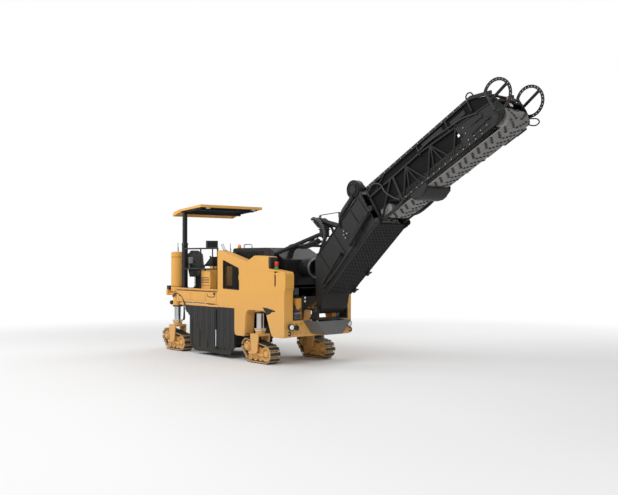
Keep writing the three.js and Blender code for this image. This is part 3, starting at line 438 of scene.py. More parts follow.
def make_finishes(colours):
    """Fills FINISH with every material that the machine wears."""
    FINISH.update(
        {
            # Alkyd machine enamel on primed sheet: warm yellow, half gloss, with a pale yellow along the edges
            # in the pattern of wear that paints an edge highlight.
            "yellow enamel": sprayed_enamel(
                "Sprayed yellow enamel on steel", colours.enamel, "#dca043", "#f3cf8c", 0.42, 0.5
            ),
            # Polyester powder on steel: near black with a broad soft highlight.
            "black powder coat": sprayed_enamel(
                "Black powder coat on steel", colours.coat, "#111213", "#303133", 0.5, 0.08, gloss=0.3
            ),
            # The same enamel on parts that the ground scours: chipped, greyed and dulled.
            "worn yellow enamel": sprayed_enamel(
                "Scoured yellow enamel on steel", "#e0b055", "#a98a55", "#8d8478", 0.55, 0.9
            ),
            # Alkyd enamel again, in the dark blue-grey of the duct and the slewing bracket.
            "charcoal enamel": sprayed_enamel(
                "Sprayed charcoal enamel on steel", "#40464b", "#4a5156", "#7d8489", 0.42, 0.4
            ),
            # Ground and hard chromed bar: bright, with faint rings from the grinding wheel.
            "hard chrome": worked_metal(
                "Ground and hard chromed steel", "#d9dcdf", "#b9bdc2", 0.16, 14, (0.2, 0.2, 3)
            ),
            # Cast polyurethane road pads: black, matt, greyed where they touch the ground.
            "polyurethane pads": moulded_rubber(
                "Cast polyurethane pads", "#1c1c1d", "#2e2c2a", 0.62, 8, 0.002
            ),
            # Vulcanised SBR carcass: mid grey from the dust pressed into it.
            "chevron belt": moulded_rubber("Vulcanised SBR belt", colours.belt, "#8b8a87", 0.85, 10, 0.002),
            # Near black with almost no gloss, on the sheets set back inside the frames: a painted shade that
            # keeps the recesses darker than the frames around them.
            "painted shade black": sprayed_enamel(
                "Near-black painted shade on steel", "#080909", "#0c0c0d", "#222325", 0.75, 0.04, gloss=0.15
            ),
            # The belt's raised cleats: darker than the carcass, partly dirt and partly a painted shade for the
            # dark dashes of the chevrons' shadows.
            "belt cleats": moulded_rubber("Vulcanised SBR cleats", "#2c2b2a", "#4a4947", 0.8, 8, 0.002),
            # Extruded EPDM sheet: black with a dull even sheen.
            "apron rubber": moulded_rubber("Extruded EPDM apron", "#121213", "#1e1d1c", 0.6, 12, 0.003),
            # Nitrile cover over braid: black, fine grained, slightly shiny.
            "hydraulic hose": moulded_rubber("Nitrile hydraulic hose", "#1b1b1c", "#262626", 0.5, 6, 0.001),
            # Calendered PVC on foam: soft black leather grain.
            "seat vinyl": grained_vinyl("Grained upholstery vinyl", "#232325"),
            # Drop-forged alloy steel, its scale rubbed to a dull grey by the road.
            "forged steel": worked_metal("Drop-forged alloy steel", "#77726b", "#4d4843", 0.55, 30),
            # Wear plate dragged over asphalt: pale bare steel with scratches along it.
            "scoured steel": worked_metal(
                "Steel plate scoured by the road", "#a8a49c", "#6f6a62", 0.42, 40, (1, 1, 3)
            ),
            # Zinc plated fasteners and unions: pale, cool and half bright.
            "zinc plate": worked_metal("Zinc-plated steel", "#b4b8bc", "#8f9499", 0.38, 12),
            # Sand-cast iron under one coat of dark paint: almost matt.
            "cast iron": sprayed_enamel("Painted grey cast iron", "#3d4347", "#33383b", "#6d7276", 0.6, 0.3),
            # Moulded ABS for housings and trim: even colour, fine grain.
            "black ABS": moulded_plastic("Moulded black ABS", "#17181a", 0.5),
            "grey ABS": moulded_plastic("Moulded grey ABS", "#8c8f90", 0.5),
            # Moulded polypropylene caps: bright, slightly waxy.
            "red polypropylene": moulded_plastic("Moulded red polypropylene", "#c3281f", 0.4),
            "green polypropylene": moulded_plastic("Moulded green polypropylene", "#1f9a4b", 0.4),
            # Polished polycarbonate lenses: pale or tinted, glossy.
            "clear polycarbonate": moulded_plastic("Clear polycarbonate lens", "#f4f5f2", 0.12),
            "amber polycarbonate": moulded_plastic("Amber polycarbonate lens", "#f08a1c", 0.15),
            "red polycarbonate": moulded_plastic("Red polycarbonate lens", "#b3201c", 0.15),
        }
    )


CAD_FINISHES = {
    "yellow enamel": (
        *("track_frame_" + corner for corner in CORNERS),
        "main_frame", "rear_bumper", "leg_housing_rl", "leg_housing_rr", "side_panel_l", "side_panel_r",
        "operator_deck", "canopy_roof",
    ),
    "black powder coat": (
        "drum_housing", "drum_side_plate_l", "drum_side_plate_r", "scraper", "belt_drive_cover",
        "engine_hood", "engine_cowl", "primary_conveyor", "slew_turntable", "conveyor_gantry", "slew_head",
        "conveyor_lower", "dust_blower", "conveyor_upper", "luff_barrel", "fold_barrel_l", "fold_barrel_r",
        "fold_rod_l", "fold_rod_r", "canopy_mast", "mast_socket", "control_console", "handrail_l",
        "handrail_r",
    ),
    "charcoal enamel": ("slew_bracket", "suction_duct"),
    "hard chrome": (*("leg_column_" + corner for corner in CORNERS), "luff_rod"),
    "cast iron": ("engine_block",),
    "forged steel": ("milling_drum",),
    "chevron belt": ("belt_lower", "belt_upper"),
    "seat vinyl": ("operator_seat",),
    "polyurethane pads": tuple("track_belt_" + corner for corner in CORNERS),
}


# ---------------------------------------------------------------- settings that a user would change
class PlanerSizes(bpy.types.PropertyGroup):
    """Sizes of what repeats: pads, cleats, wires, slots and ribs"""

    pad_share: bpy.props.FloatProperty(
        name="Pad length", description="Part of a shoe that its rubber pad covers",
        default=0.58, min=0.3, max=0.85,
    )
    cleat_height: bpy.props.FloatProperty(
        name="Cleat height", description="Height of the belts' chevrons, in millimetres",
        default=17.0, min=5, max=30,
    )
    mesh_pitch: bpy.props.FloatProperty(
        name="Mesh pitch", description="Distance between the window's wires, in millimetres",
        default=26.0, min=15, max=60,
    )
    slot_pitch: bpy.props.FloatProperty(
        name="Slot pitch", description="Distance between rows of guard slots, in millimetres",
        default=44.0, min=25, max=80,
    )
    rib_height: bpy.props.FloatProperty(
        name="Roof rib", description="Height of the ribs under the canopy, in millimetres",
        default=26.0, min=5, max=60,
    )


class PlanerColours(bpy.types.PropertyGroup):
    """The three colours that set the machine's look"""

    enamel: bpy.props.StringProperty(
        name="Enamel", description="Main paint, as an sRGB hex colour", default="#e6a94a"
    )
    coat: bpy.props.StringProperty(
        name="Coat", description="Black parts, as an sRGB hex colour", default="#0d0e0f"
    )
    belt: bpy.props.StringProperty(
        name="Belt", description="Conveyor belts, as an sRGB hex colour", default="#7c7b79"
    )


# ---------------------------------------------------------------- stage and finishes
class PLANER_OT_finishes(bpy.types.Operator):
    """Makes the materials and gives the frame's own nodes theirs"""

    bl_idname = "planer.finishes"
    bl_label = "Finishes"

    def execute(self, context):
        make_finishes(context.scene.planer_colours)
        for finish, nodes in CAD_FINISHES.items():
            for node in nodes:
                data = frame["nodes"][node].data
                data.materials.clear()
                data.materials.append(FINISH[finish])
        return {"FINISHED"}


def soft_box(name, place, target, size, watts):
    """A square area light that faces a target."""
    data = bpy.data.lights.new(name, "AREA")
    data.shape = "SQUARE"
    data.size = size
    data.energy = watts
    lamp = bpy.data.objects.new(name, data)
    lamp.location = place
    lamp.rotation_euler = (Vector(target) - Vector(place)).to_track_quat("-Z", "Y").to_euler()
    bpy.context.scene.collection.objects.link(lamp)


class PLANER_OT_stage(bpy.types.Operator):
    """Sets the camera, the lamps, the world and the pale floor"""

    bl_idname = "planer.stage"
    bl_label = "Stage"

    def execute(self, context):
        scene = context.scene
        scene.view_settings.view_transform = "Standard"
        self.camera(scene)
        self.world(scene)
        self.floor(scene)
        body, top, size = (0, 0, 1.5), (0, 0, 2), 7
        soft_box("key", (6, -11, 12), body, size, 1130)
        soft_box("fill", (-9, -8, 8), body, size, 500)
        soft_box("rim", (-3, 11, 10), top, size, 600)
        return {"FINISHED"}

    def camera(self, scene):
        """A camera ahead of the machine's right front corner, at about head height."""
        yaw, pitch = 0.712, 0.013
        place = MACHINE @ Vector((14877, -12211, 2361))
        ahead = Vector((-math.cos(yaw) * math.cos(pitch), math.sin(yaw) * math.cos(pitch), math.sin(pitch)))
        right = ahead.cross(UP).normalized()
        data = bpy.data.cameras.new("camera")
        data.sensor_width = 36
        data.lens = 48.1
        data.clip_end = 300
        camera = bpy.data.objects.new("camera", data)
        facing = Matrix((right, right.cross(ahead), -ahead)).transposed().to_4x4()
        camera.matrix_world = Matrix.Translation(place) @ facing
        scene.collection.objects.link(camera)
        scene.camera = camera

    def world(self, scene):
        """Soft light all round, with white behind the machine."""
        world = bpy.data.worlds.new("studio")
        world.use_nodes = True
        tree = world.node_tree
        tree.nodes.clear()
        lit = add(tree, "ShaderNodeBackground", {"Color": (1, 1, 1, 1), "Strength": 0.5})
        seen = add(tree, "ShaderNodeBackground", {"Color": (1, 1, 1, 1), "Strength": 1.0})
        path = add(tree, "ShaderNodeLightPath").outputs
        direct = add(
            tree,
            "ShaderNodeMath",
            {0: path["Is Camera Ray"], 1: path["Is Transmission Ray"]},
            operation="MAXIMUM",
        )
        either = add(
            tree, "ShaderNodeMath", {0: direct.outputs[0], 1: path["Is Glossy Ray"]}, operation="MAXIMUM"
        )
        mixed = add(
            tree, "ShaderNodeMixShader", {0: either.outputs[0], 1: lit.outputs[0], 2: seen.outputs[0]}
        )
        add(tree, "ShaderNodeOutputWorld", {"Surface": mixed.outputs[0]})
        scene.world = world

    def floor(self, scene):
        """A pale screed that fades to the white of the backdrop away from the machine."""
        material, tree, shader = started("Pale sealed screed")
        set_shader(shader, "#e8e8e8", 0.9)
        place = add(tree, "ShaderNodeTexCoord").outputs["Object"]
        reach = add(tree, "ShaderNodeVectorMath", {0: place}, operation="LENGTH")
        far = add(
            tree,
            "ShaderNodeMapRange",
            {"Value": reach.outputs["Value"], "From Min": 7.0, "From Max": 16.0},
            interpolation_type="SMOOTHSTEP",
        )
        camera_ray = add(tree, "ShaderNodeLightPath").outputs["Is Camera Ray"]
        share = add(tree, "ShaderNodeMath", {0: far.outputs["Result"], 1: camera_ray}, operation="MULTIPLY")
        white = add(tree, "ShaderNodeEmission", {"Color": (1, 1, 1, 1), "Strength": 1.0})
        mixed = add(
            tree, "ShaderNodeMixShader", {0: share.outputs[0], 1: shader.outputs[0], 2: white.outputs[0]}
        )
        tree.links.new(mixed.outputs[0], tree.nodes["Material Output"].inputs["Surface"])
        data = bpy.data.meshes.new("floor")
        half = 60
        data.from_pydata(
            [(-half, -half, 0), (half, -half, 0), (half, half, 0), (-half, half, 0)], [], [(0, 1, 2, 3)]
        )
        data.materials.append(material)
        floor = bpy.data.objects.new("floor", data)
        scene.collection.objects.link(floor)


# ---------------------------------------------------------------- tracks and legs
WHEELS = ((345, 220, 170), (-350, 365, 140), (-230, 130, 80))  # x, z and radius, anticlockwise from the front
SHOES = 22
TRACK_HALF = 140
FLOOR_ROLLERS = (-230, -40, 150)


def line_round(wheels):
    """The closed line pulled tight around wheels, as points in x and z."""
    following = wheels[1:] + wheels[:1]
    leaving = [
        math.atan2(nz - z, nx - x) - math.acos((r - nr) / math.hypot(nx - x, nz - z))
        for (x, z, r), (nx, nz, nr) in zip(wheels, following)
    ]
    line = []
    for i, (x, z, r) in enumerate(wheels):
        start = leaving[i - 1]
        end = leaving[i] + 2 * math.pi * math.ceil((start - leaving[i]) / (2 * math.pi))
        line += [Vector((x + r * math.cos(t), z + r * math.sin(t))) for t in spread(start, end, 25)]
    return line


def stations(line, count):
    """Evenly spaced places on a closed line, each with its heading, and the distance between them."""
    following = line[1:] + line[:1]
    lengths = [(there - here).length for here, there in zip(line, following)]
    pitch = sum(lengths) / count
    places = []
    wanted, passed = 0.5 * pitch, 0.0
    for here, there, length in zip(line, following, lengths):
        while len(places) < count and wanted <= passed + length:
            heading = (there - here).normalized()
            places.append((here + heading * (wanted - passed), heading))
            wanted += pitch
        passed += length
    return places, pitch


def beside(place, heading, outline):
    """An outline of (distance ahead, distance outside) pairs, moved to a place on a line."""
    outside = Vector((heading.y, -heading.x))
    return [tuple(place + heading * ahead + outside * out) for ahead, out in outline]


class PLANER_OT_tracks(bpy.types.Operator):
    """Builds the four tracks: links, steel shoes, rubber pads and wheels"""

    bl_idname = "planer.tracks"
    bl_label = "Tracks"

    def execute(self, context):
        for corner in CORNERS:
            self.chain(corner, context.scene.planer_sizes.pad_share)
            self.wheels(corner)
        return {"FINISHED"}

    def chain(self, corner, pad_share):
        """Links, shoes and pads around the wheels; outlines are (ahead, outside) pairs."""
        places, pitch = stations(line_round(WHEELS), SHOES)
        pads, shoes, links = Form(LEG[corner]), Form(LEG[corner]), Form(LEG[corner])
        half = pitch * pad_share / 2
        foot, top, chamfer = 26, 47, 7
        ahead = [(half, foot), (half, top - chamfer), (half - chamfer, top)]
        pad = [(-half, foot), *ahead, (chamfer - half, top), (-half, top - chamfer)]
        reach = pitch * 0.47  # half a shoe, so that a gap shows before the next
        shoe = [(-reach, 12), (reach, 12), (reach, 22), (half, 29), (-half, 29), (-reach, 34)]
        link = [(-reach - 6, -8), (reach + 6, -8), (reach, 13), (-reach, 13)]
        for place, heading in places:
            pads.plate(beside(place, heading, pad), 4 - TRACK_HALF, TRACK_HALF - 4)
            shoes.plate(beside(place, heading, shoe), -TRACK_HALF, TRACK_HALF)
            for y in (-92, 66):
                links.plate(beside(place, heading, link), y, y + 26)
        body = "leg_" + corner
        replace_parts(pads.piece("pads_" + corner, "polyurethane pads", body, bevel=2), "track_belt_" + corner)
        shoes.piece("shoes_" + corner, "worn yellow enamel", body)
        links.piece("links_" + corner, "forged steel", body)

    def wheels(self, corner):
        """The idler, the sprocket with its motor, and the floor rollers, on both sides of the links."""
        idler, sprocket, floor = WHEELS
        painted, dark = Form(LEG[corner]), Form(LEG[corner])
        for side in (-1, 1):
            axis = (0, side, 0)
            rim = [
                (163, 55), (163, 112), (150, 121), (132, 121), (124, 88), (74, 80), (64, 112), (52, 124),
                (0, 126),
            ]
            painted.turned([(0, 55), *rim], (idler[0], 0, idler[1]), axis, 32)
            motor = [
                (0, 55), (118, 55), (118, 96), (104, 104), (104, 122), (92, 132), (48, 134), (44, 126),
                (0, 126),
            ]
            painted.turned(motor, (sprocket[0], 0, sprocket[1]), axis, 28)
            outside = side * 122
            for centre, radius, count in ((idler, 98, 8), (sprocket, 76, 10)):
                ring = circle(
                    (centre[0], side * (84 if centre is idler else 133), centre[1]), axis, radius, count
                )
                dark.bolts(ring, axis, 22, 9)
            for x in FLOOR_ROLLERS:
                roller = [
                    (0, 55), (76, 55), (76, 104), (66, 112), (50, 112), (46, 98), (26, 98), (22, 122),
                    (0, 122),
                ]
                painted.turned(roller, (x, 0, floor[1]), axis, 20)
                dark.bolts([(x, outside, floor[1])], axis, 24, 8)
            teeth = []
            for turn in spread(0, 2 * math.pi, 15)[:-1]:
                for shift, radius in ((-0.15, 118), (-0.07, 134), (0.07, 134), (0.15, 118)):
                    x = sprocket[0] + radius * math.cos(turn + shift)
                    teeth.append((x, sprocket[1] + radius * math.sin(turn + shift)))
            dark.plate(teeth, side * 62, side * 80)
            # A ribbed guard joins the wheels above the rollers, and ends short of the yoke's cheek.
            guard = [(-300, 225), (-250, 250), (250, 215), (300, 190), (250, 180), (-240, 190)]
            painted.plate(guard, side * 84, side * 130)
        painted.piece("wheels_" + corner, "yellow enamel", "leg_" + corner, bevel=3)
        dark.piece("wheel_bolts_" + corner, "forged steel", "leg_" + corner)


class PLANER_OT_legs(bpy.types.Operator):
    """Adds wipers, flanges, bolts and the covers' trim to the lifting legs"""

    bl_idname = "planer.legs"
    bl_label = "Lifting legs"

    def execute(self, context):
        for corner in CORNERS:
            self.foot(corner)
        for side in SIDES:
            self.cover(side)
        return {"FINISHED"}

    def foot(self, corner):
        """The wiper on the leg's housing and the flange that holds the column to its yoke."""
        axes = LEG[corner]
        bore = 86  # clears the column
        section = [(bore, 1118), (128, 1118), (134, 1128), (134, 1149), (bore, 1149)]
        wiper = Form(axes).turned(section, ORIGIN, UP, 28, hollow=True)
        wiper.piece("wiper_" + corner, "black powder coat", bevel=3)
        section = [(bore, 750), (132, 750), (138, 756), (138, 768), (100, 776), (bore, 776)]
        flange = Form(axes).turned(section, ORIGIN, UP, 28, hollow=True)
        flange.piece("flange_" + corner, "yellow enamel", "leg_" + corner, bevel=2)
        heads = Form(axes).bolts(circle((0, 0, 766), UP, 116, 10), UP, 20, 12)
        heads.piece("flange_bolts_" + corner, "zinc plate", "leg_" + corner)

    def cover(self, side):
        """The cap, seams, bars and hoses of a rear leg's round cover."""
        axes = LEG["r" + side]
        out = SIDES[side]
        top = 2499
        section = [(150, top), (170, top), (170, top + 9), (150, top + 25), (60, top + 33), (0, top + 33)]
        cap = Form(axes).turned(section, ORIGIN, UP, 36)
        cap.piece("leg_cap_" + side, "yellow enamel", bevel=3)
        trim = Form(axes)
        for z in (1642, 2392):
            trim.turned([(0, z - 5), (172.6, z - 5), (172.6, z + 5), (0, z + 5)], ORIGIN, UP, 48)
        trim.hose([(-168, 0, 2440), (-205, 0, 2430), (-208, 0, 2250), (-205, 0, 2060), (-168, 0, 2050)], 12)
        trim.bar((0, 0, 2520), (0, 0, 2760), 8)
        trim.bar((30, 0, 2520), (30, 0, 2640), 5)
        hook = [
            (-172, out * 20, 1830), (-205, out * 25, 1850), (-215, out * 20, 1820), (-172, out * 10, 1795)
        ]
        trim.hose(hook, 8)
        trim.piece("leg_trim_" + side, "black powder coat")
        # A hydraulic hose loops down from the frame to the leg's valve.
        hose = Form(axes)
        for shift in (0, 34):
            over = [(-30, out * 120, 1400 - shift), (70, out * 134, 1452 - shift)]
            down = [(260, out * 130, 1440 - shift), (400, out * 120, 1320 - shift), (470, out * 110, 1150)]
            hose.hose([*over, *down, (480 - shift, out * 100, 880), (440 - shift, out * 90, 800)], 17)
        hose.piece("leg_hose_" + side, "hydraulic hose")


# ---------------------------------------------------------------- side panels and front beam
# Both outlines are x and z pairs on the side of the machine.
PANEL_OUTLINE = (
    (-1460, 1240), (-1420, 1200), (-770, 1200), (-770, 700), (-752, 610), (-700, 580), (-400, 580),
    (-375, 620), (-340, 1060), (-300, 1150), (-220, 1190), (330, 1190), (430, 1130), (470, 1000), (600, 700),
    (650, 640), (700, 630), (990, 630), (1040, 650), (1060, 690), (1062, 1560), (1070, 1640), (1098, 1720), (
        1100, 1990
    ),
    (1088, 2030), (1050, 2065), (510, 2130), (505, 2380), (480, 2400), (20, 2420), (-20, 2415), (-300, 2280),
    (-1400, 2550), (-1440, 2550), (-1460, 2530),
)
WINDOW = (
    (-1235, 1655), (-1220, 1642), (-600, 1625), (-585, 1640), (-588, 1850), (-612, 1880), (-612, 1960),
    (-588, 1990), (-605, 2120), (-622, 2140), (-1215, 2318), (-1235, 2305),
)


def towards_middle(points, distance):
    """An outline drawn in towards its own middle by about a distance."""
    middle = sum((Vector(point) for point in points), Vector((0, 0))) / len(points)
    return [tuple(Vector(point) + (middle - Vector(point)).normalized() * distance) for point in points]


def crossing(outline, axis, value):
    """The lowest and highest crossing of an outline with a line of constant x (axis 0) or z (axis 1)."""
    found = []
    for here, there in zip(outline, outline[1:] + outline[:1]):
        if min(here[axis], there[axis]) <= value < max(here[axis], there[axis]):
            share = (value - here[axis]) / (there[axis] - here[axis])
            found.append(here[1 - axis] + share * (there[1 - axis] - here[1 - axis]))
    return min(found), max(found)


class PLANER_OT_side_panels(bpy.types.Operator):
    """Builds the pressed side panels with their mesh windows, handles and lamps"""

    bl_idname = "planer.side_panels"
    bl_label = "Side panels"

    def execute(self, context):
        for side in SIDES:
            self.panel(side)
            self.window(side, context.scene.planer_sizes.mesh_pitch)
            self.fittings(side)
        return {"FINISHED"}

    def panel(self, side):
        """The skin with its openings, the returns around its edge and the pockets behind its openings."""
        handle = [(716, 1740), (762, 1740), (768, 1780), (768, 1975), (762, 2005), (716, 2005)]
        latch = [(710, 2030), (775, 2030), (775, 2066), (710, 2066)]
        skin = Form(side_axes(side)).plate(PANEL_OUTLINE, 968, 996, holes=(WINDOW, handle, latch))
        made = skin.piece("panel_" + side, "yellow enamel", bevel=9)
        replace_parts(made, "side_panel_" + side)
        returns = Form(side_axes(side))
        outer, inner = PANEL_OUTLINE, towards_middle(PANEL_OUTLINE, 34)
        for corners in zip(outer, outer[1:] + outer[:1], inner[1:] + inner[:1], inner):
            returns.plate(corners, 750, 972)
        returns.piece("panel_returns_" + side, "yellow enamel")
        pocket = Form(side_axes(side))
        for levels in ((1725, 2015), (2020, 2076)):
            pocket.block((700, 785), (955, 967), levels)
        pocket.bar((739, 985, 1775), (739, 985, 1975), 9)
        for z in (1775, 1975):
            pocket.bar((739, 968, z), (739, 985, z), 9)
        pocket.turned([(0, 0), (14, 0), (14, 18), (0, 18)], (742, 967, 2048))
        pocket.piece("panel_handle_" + side, "black ABS", bevel=1.5)

    def window(self, side, pitch):
        """A framed window of crossed wires."""
        inner = towards_middle(WINDOW, 26)
        rim = Form(side_axes(side)).plate(WINDOW, 960, 998, holes=(inner,))
        rim.piece("window_frame_" + side, "black powder coat", bevel=2)
        wires = Form(side_axes(side))
        xs, zs = [x for x, z in inner], [z for x, z in inner]
        for x in spread(min(xs) + pitch, max(xs) - pitch, round((max(xs) - min(xs)) / pitch)):
            low, high = crossing(inner, 0, x)
            wires.bar((x, 984, low - 8), (x, 984, high + 8), 3.2, 6)
        for z in spread(min(zs) + pitch, max(zs) - pitch, round((max(zs) - min(zs)) / pitch)):
            low, high = crossing(inner, 1, z)
            wires.bar((low - 8, 978, z), (high + 8, 978, z), 3.2, 6)
        wires.piece("window_mesh_" + side, "black powder coat")

    def fittings(self, side):
        """The marker lamp, the tank caps on the right, the guard over the front track and the bolts."""
        outline = [(506, 2150), (560, 2145), (572, 2180), (572, 2350), (555, 2385), (506, 2390)]
        lamp = Form(side_axes(side)).plate(outline, 800, 985)
        lamp.piece("panel_lamp_" + side, "black ABS", bevel=10)
        caps = (("green", 45, 2120, 2185), ("red", 52, 2190, 2290))
        for colour, radius, low, high in caps if side == "r" else ():
            section = [(radius, low), (radius, high - 15), (radius * 0.8, high), (0, high)]
            cap = Form(side_axes(side)).turned(section, (615, 850, 0), UP, 24)
            cap.piece("tank_cap_" + colour, colour + " polypropylene", bevel=3)
        arch = Form(side_axes(side))
        over = [(300, 1270), (470, 1262), (560, 1245), (740, 1215), (760, 1190)]
        under = [(640, 1180), (560, 1130), (450, 1105), (380, 1180)]
        arch.plate(over + under, 940, 999)
        arch.piece("arch_guard_" + side, "black powder coat", bevel=4)
        bolts = Form(side_axes(side))
        places = [(1020, z) for z in (760, 1060, 1400, 1740)]
        places += [(x, 2478 - 0.24 * (x + 1100)) for x in (-1400, -1000)]
        places += [(x, 1240) for x in (-1400, -1200, -1000)]
        places += [(-720, 660), (-430, 660), (700, 690), (980, 690)]
        bolts.bolts([(x, 994, z) for x, z in places], ACROSS, 24, 6)
        bolts.piece("panel_bolts_" + side, "zinc plate")


class PLANER_OT_front(bpy.types.Operator):
    """Adds the front beam's headlamps, horns, tie-down rings and bolts, and the work lamps above it"""

    bl_idname = "planer.front"
    bl_label = "Front beam"

    def execute(self, context):
        for side in SIDES:
            axes = side_axes(side)
            socket, work_levels = (1098, 857, 870), (1420, 1496)
            section = [(0, 0), (66, 0), (74, 14), (74, 60), (64, 66), (60, 58), (0, 54)]
            lamp = Form(axes).turned(section, socket, ALONG, 28)
            lamp.piece("headlamp_" + side, "black ABS", bevel=2)
            lens = Form(axes).turned([(0, 54), (60, 54), (52, 66), (0, 72)], socket, ALONG, 28)
            lens.piece("headlamp_lens_" + side, "clear polycarbonate")
            section = [(0, 0), (52, 0), (58, 12), (58, 48), (50, 52), (0, 52)]
            horn = Form(axes).turned(section, (1098, 700, 850), ALONG, 24)
            horn.piece("front_horn_" + side, "black ABS", bevel=2)
            bend = [(1095, 900, 760), (1150, 905, 770), (1165, 905, 730), (1150, 905, 690), (1095, 900, 700)]
            Form(axes).hose(bend, 15).piece("tie_down_" + side, "black powder coat")
            work = Form(axes)
            for z in work_levels:
                work.block((1104, 1146), (446, 500), (z - 30, z + 30))
            work.block((1060, 1106), (452, 492), (1236, 1540)).block((1062, 1330), (436, 454), (1236, 1280))
            work.piece("work_lamps_" + side, "black ABS", "slew", bevel=4)
            glass = Form(axes)
            for z in work_levels:
                glass.turned([(0, 0), (24, 0), (20, 6), (0, 8)], (1144, 473, z), ALONG, 20)
            glass.piece("work_lenses_" + side, "clear polycarbonate", "slew")
        face = [(1100, y, z) for y in (-690, -560, -430, 430, 560, 690) for z in (720, 940)]
        lugs = [(x, y, 1000) for x in (1300, 1500) for y in (-430, 430)]
        bolts = Form().bolts(face, ALONG, 34, 16).bolts(lugs, UP, 34, 16)
        bolts.piece("beam_bolts", "zinc plate")
        return {"FINISHED"}


# ---------------------------------------------------------------- deck, seat, console and canopy
def limits(node):
    """A frame node's lowest and highest corners at rest, in the machine's millimetres."""
    return [MACHINE.inverted() @ Vector(corner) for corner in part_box(node)]


def rounded(x, y, inset, radius, steps=5):
    """A rectangle with round corners, drawn in from its limits by inset."""
    reach = max(radius - inset, 4)
    points = []
    for i, (cx, cy) in enumerate(((x[1], y[1]), (x[0], y[1]), (x[0], y[0]), (x[1], y[0]))):
        sx, sy = ((1, 1), (-1, 1), (-1, -1), (1, -1))[i]
        middle = Vector((cx - sx * (inset + reach), cy - sy * (inset + reach)))
        for turn in spread(i * math.pi / 2, (i + 1) * math.pi / 2, steps):
            points.append(middle + reach * Vector((math.cos(turn), math.sin(turn))))
    return points


def cushion(name, axes, x, y, depth):
    """A crowned cushion with its face up, and the piping around its edge."""
    corner = 60
    underside = [(24, 0), (6, 8), (0, 28), (0, depth * 0.62)]
    crown = [(7, depth * 0.8), (24, depth * 0.9), (60, depth * 0.97), (110, depth)]
    rings = [[(*point, h) for point in rounded(x, y, inset, corner)] for inset, h in underside + crown]
    body = Form(axes).loft(rings).piece(name, "seat vinyl", smooth=80)
    piping = Form(axes)
    edge = [Vector((*point, depth * 0.66)) for point in rounded(x, y, -1, corner)]
    piping.hose([*edge, edge[0]], 5, 6, 2)
    piping.piece(name + "_piping", "black ABS")
    return body


class PLANER_OT_deck(bpy.types.Operator):
    """Adds the deck's grip mat, edge rails, hatches and locker"""

    bl_idname = "planer.deck"
    bl_label = "Deck"

    def execute(self, context):
        low, high = limits("operator_deck")
        mat = Form().block((low.x + 40, high.x - 40), (low.y + 60, high.y - 60), (high.z - 2, high.z + 3))
        for x in spread(low.x + 70, high.x - 70, 30):
            mat.block((x - 7, x + 7), (low.y + 70, high.y - 70), (high.z + 2, high.z + 6))
        mat.piece("deck_mat", "black ABS")
        for side in SIDES:
            self.edge(side, low, high)
        locker = Form().block((-2330, -1910), (-905, -640), (high.z, 2080))
        locker.block((-2336, -1904), (-911, -634), (2084, 2110))
        locker.piece("locker", "yellow enamel", bevel=10)
        trim = Form().block((-2150, -2090), (-914, -904), (2050, 2096))
        trim.bar((-2300, -908, 1700), (-1940, -908, 1700), 5)
        for z in (1760, 1800, 1840, 1880):
            trim.block((-2290, -1950), (-909, -903), (z, z + 14))
        trim.piece("locker_trim", "black ABS", bevel=1)
        return {"FINISHED"}

    def edge(self, side, low, high):
        rail = Form(side_axes(side)).bar((low.x + 5, 982, high.z), (high.x - 5, 982, high.z), 16, 14)
        rail.block((low.x + 130, high.x - 10), (948, 968), (1190, 1240))
        for x in (-3080, -2560, -2040, -1560):
            rail.block((x - 30, x + 30), (948, 962), (1235, 1275))
        for x in ((-3240, -2640), (-2590, -1990), (-1940, -1520)):
            rail.block(x, (976, 990), (1322, 1520))
        rail.piece("deck_edge_" + side, "yellow enamel", bevel=4)
        dark = Form(side_axes(side)).block((low.x + 20, high.x - 20), (976, 984), (1546, 1568))
        dark.block((low.x + 150, high.x - 20), (949, 957), (1246, 1272))
        dark.hose(
            [
                (-1900, 986, 1500), (-1880, 990, 1440), (-1760, 990, 1425), (-1600, 990, 1440),
                (-1575, 986, 1500),
            ],
            9,
        )
        dark.block((-1640, -1560), (984, 996), (1480, 1530)).block((-3180, -3120), (984, 994), (1400, 1440))
        dark.piece("deck_trim_" + side, "black ABS", bevel=2)
        places = [(x, 990, z) for x in (-3215, -2665, -2565, -2015, -1915, -1545) for z in (1345, 1497)]
        Form(side_axes(side)).bolts(places, ACROSS, 20, 6).piece("deck_bolts_" + side, "zinc plate")


class PLANER_OT_seat(bpy.types.Operator):
    """Builds the upholstered seat on its suspension pedestal"""

    bl_idname = "planer.seat"
    bl_label = "Seat"

    def execute(self, context):
        low, high = limits("operator_seat")
        here = MACHINE @ Matrix.Translation((low.x + 290, (low.y + high.y) / 2, low.z))
        seat = cushion("seat_cushion", here @ Matrix.Translation((0, 0, 325)), (-200, 270), (-235, 235), 112)
        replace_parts(seat, "operator_seat")
        lean = Matrix.Rotation(math.radians(80), 4, "Y")
        cushion("seat_back", here @ Matrix.Translation((-225, 0, 390)) @ lean, (-500, 0), (-230, 230), 95)
        cushion("seat_headrest", here @ Matrix.Translation((-295, 0, 800)) @ lean, (-150, 0), (-150, 150), 80)
        stand = Form(here).block((-110, 160), (-140, 140), (0, 40))
        stand.block((-190, 250), (-215, 215), (285, 328))
        for level in (60, 100, 140, 180, 220, 260):
            stand.block((-95, 145), (-125, 125), (level - 14, level + 14))
        stand.block((-70, 120), (-105, 105), (40, 290))
        for out in (-1, 1):
            y = out * 268
            stand.bar((-190, out * 200, 330), (-190, out * 262, 590), 16)
            stand.bar((-190, y, 570), (130, y, 570), 17).bar((110, y, 580), (135, y, 700), 11)
        stand.piece("seat_frame", "black powder coat", bevel=4)
        arms = Form(here)
        for y in (-268, 268):
            arms.block((-180, 150), (y - 26, y + 26), (575, 612))
            arms.turned([(0, 0), (22, 4), (27, 26), (22, 48), (0, 56)], (137, y, 690), UP, 18)
        arms.piece("seat_arms", "seat vinyl", bevel=9)
        return {"FINISHED"}


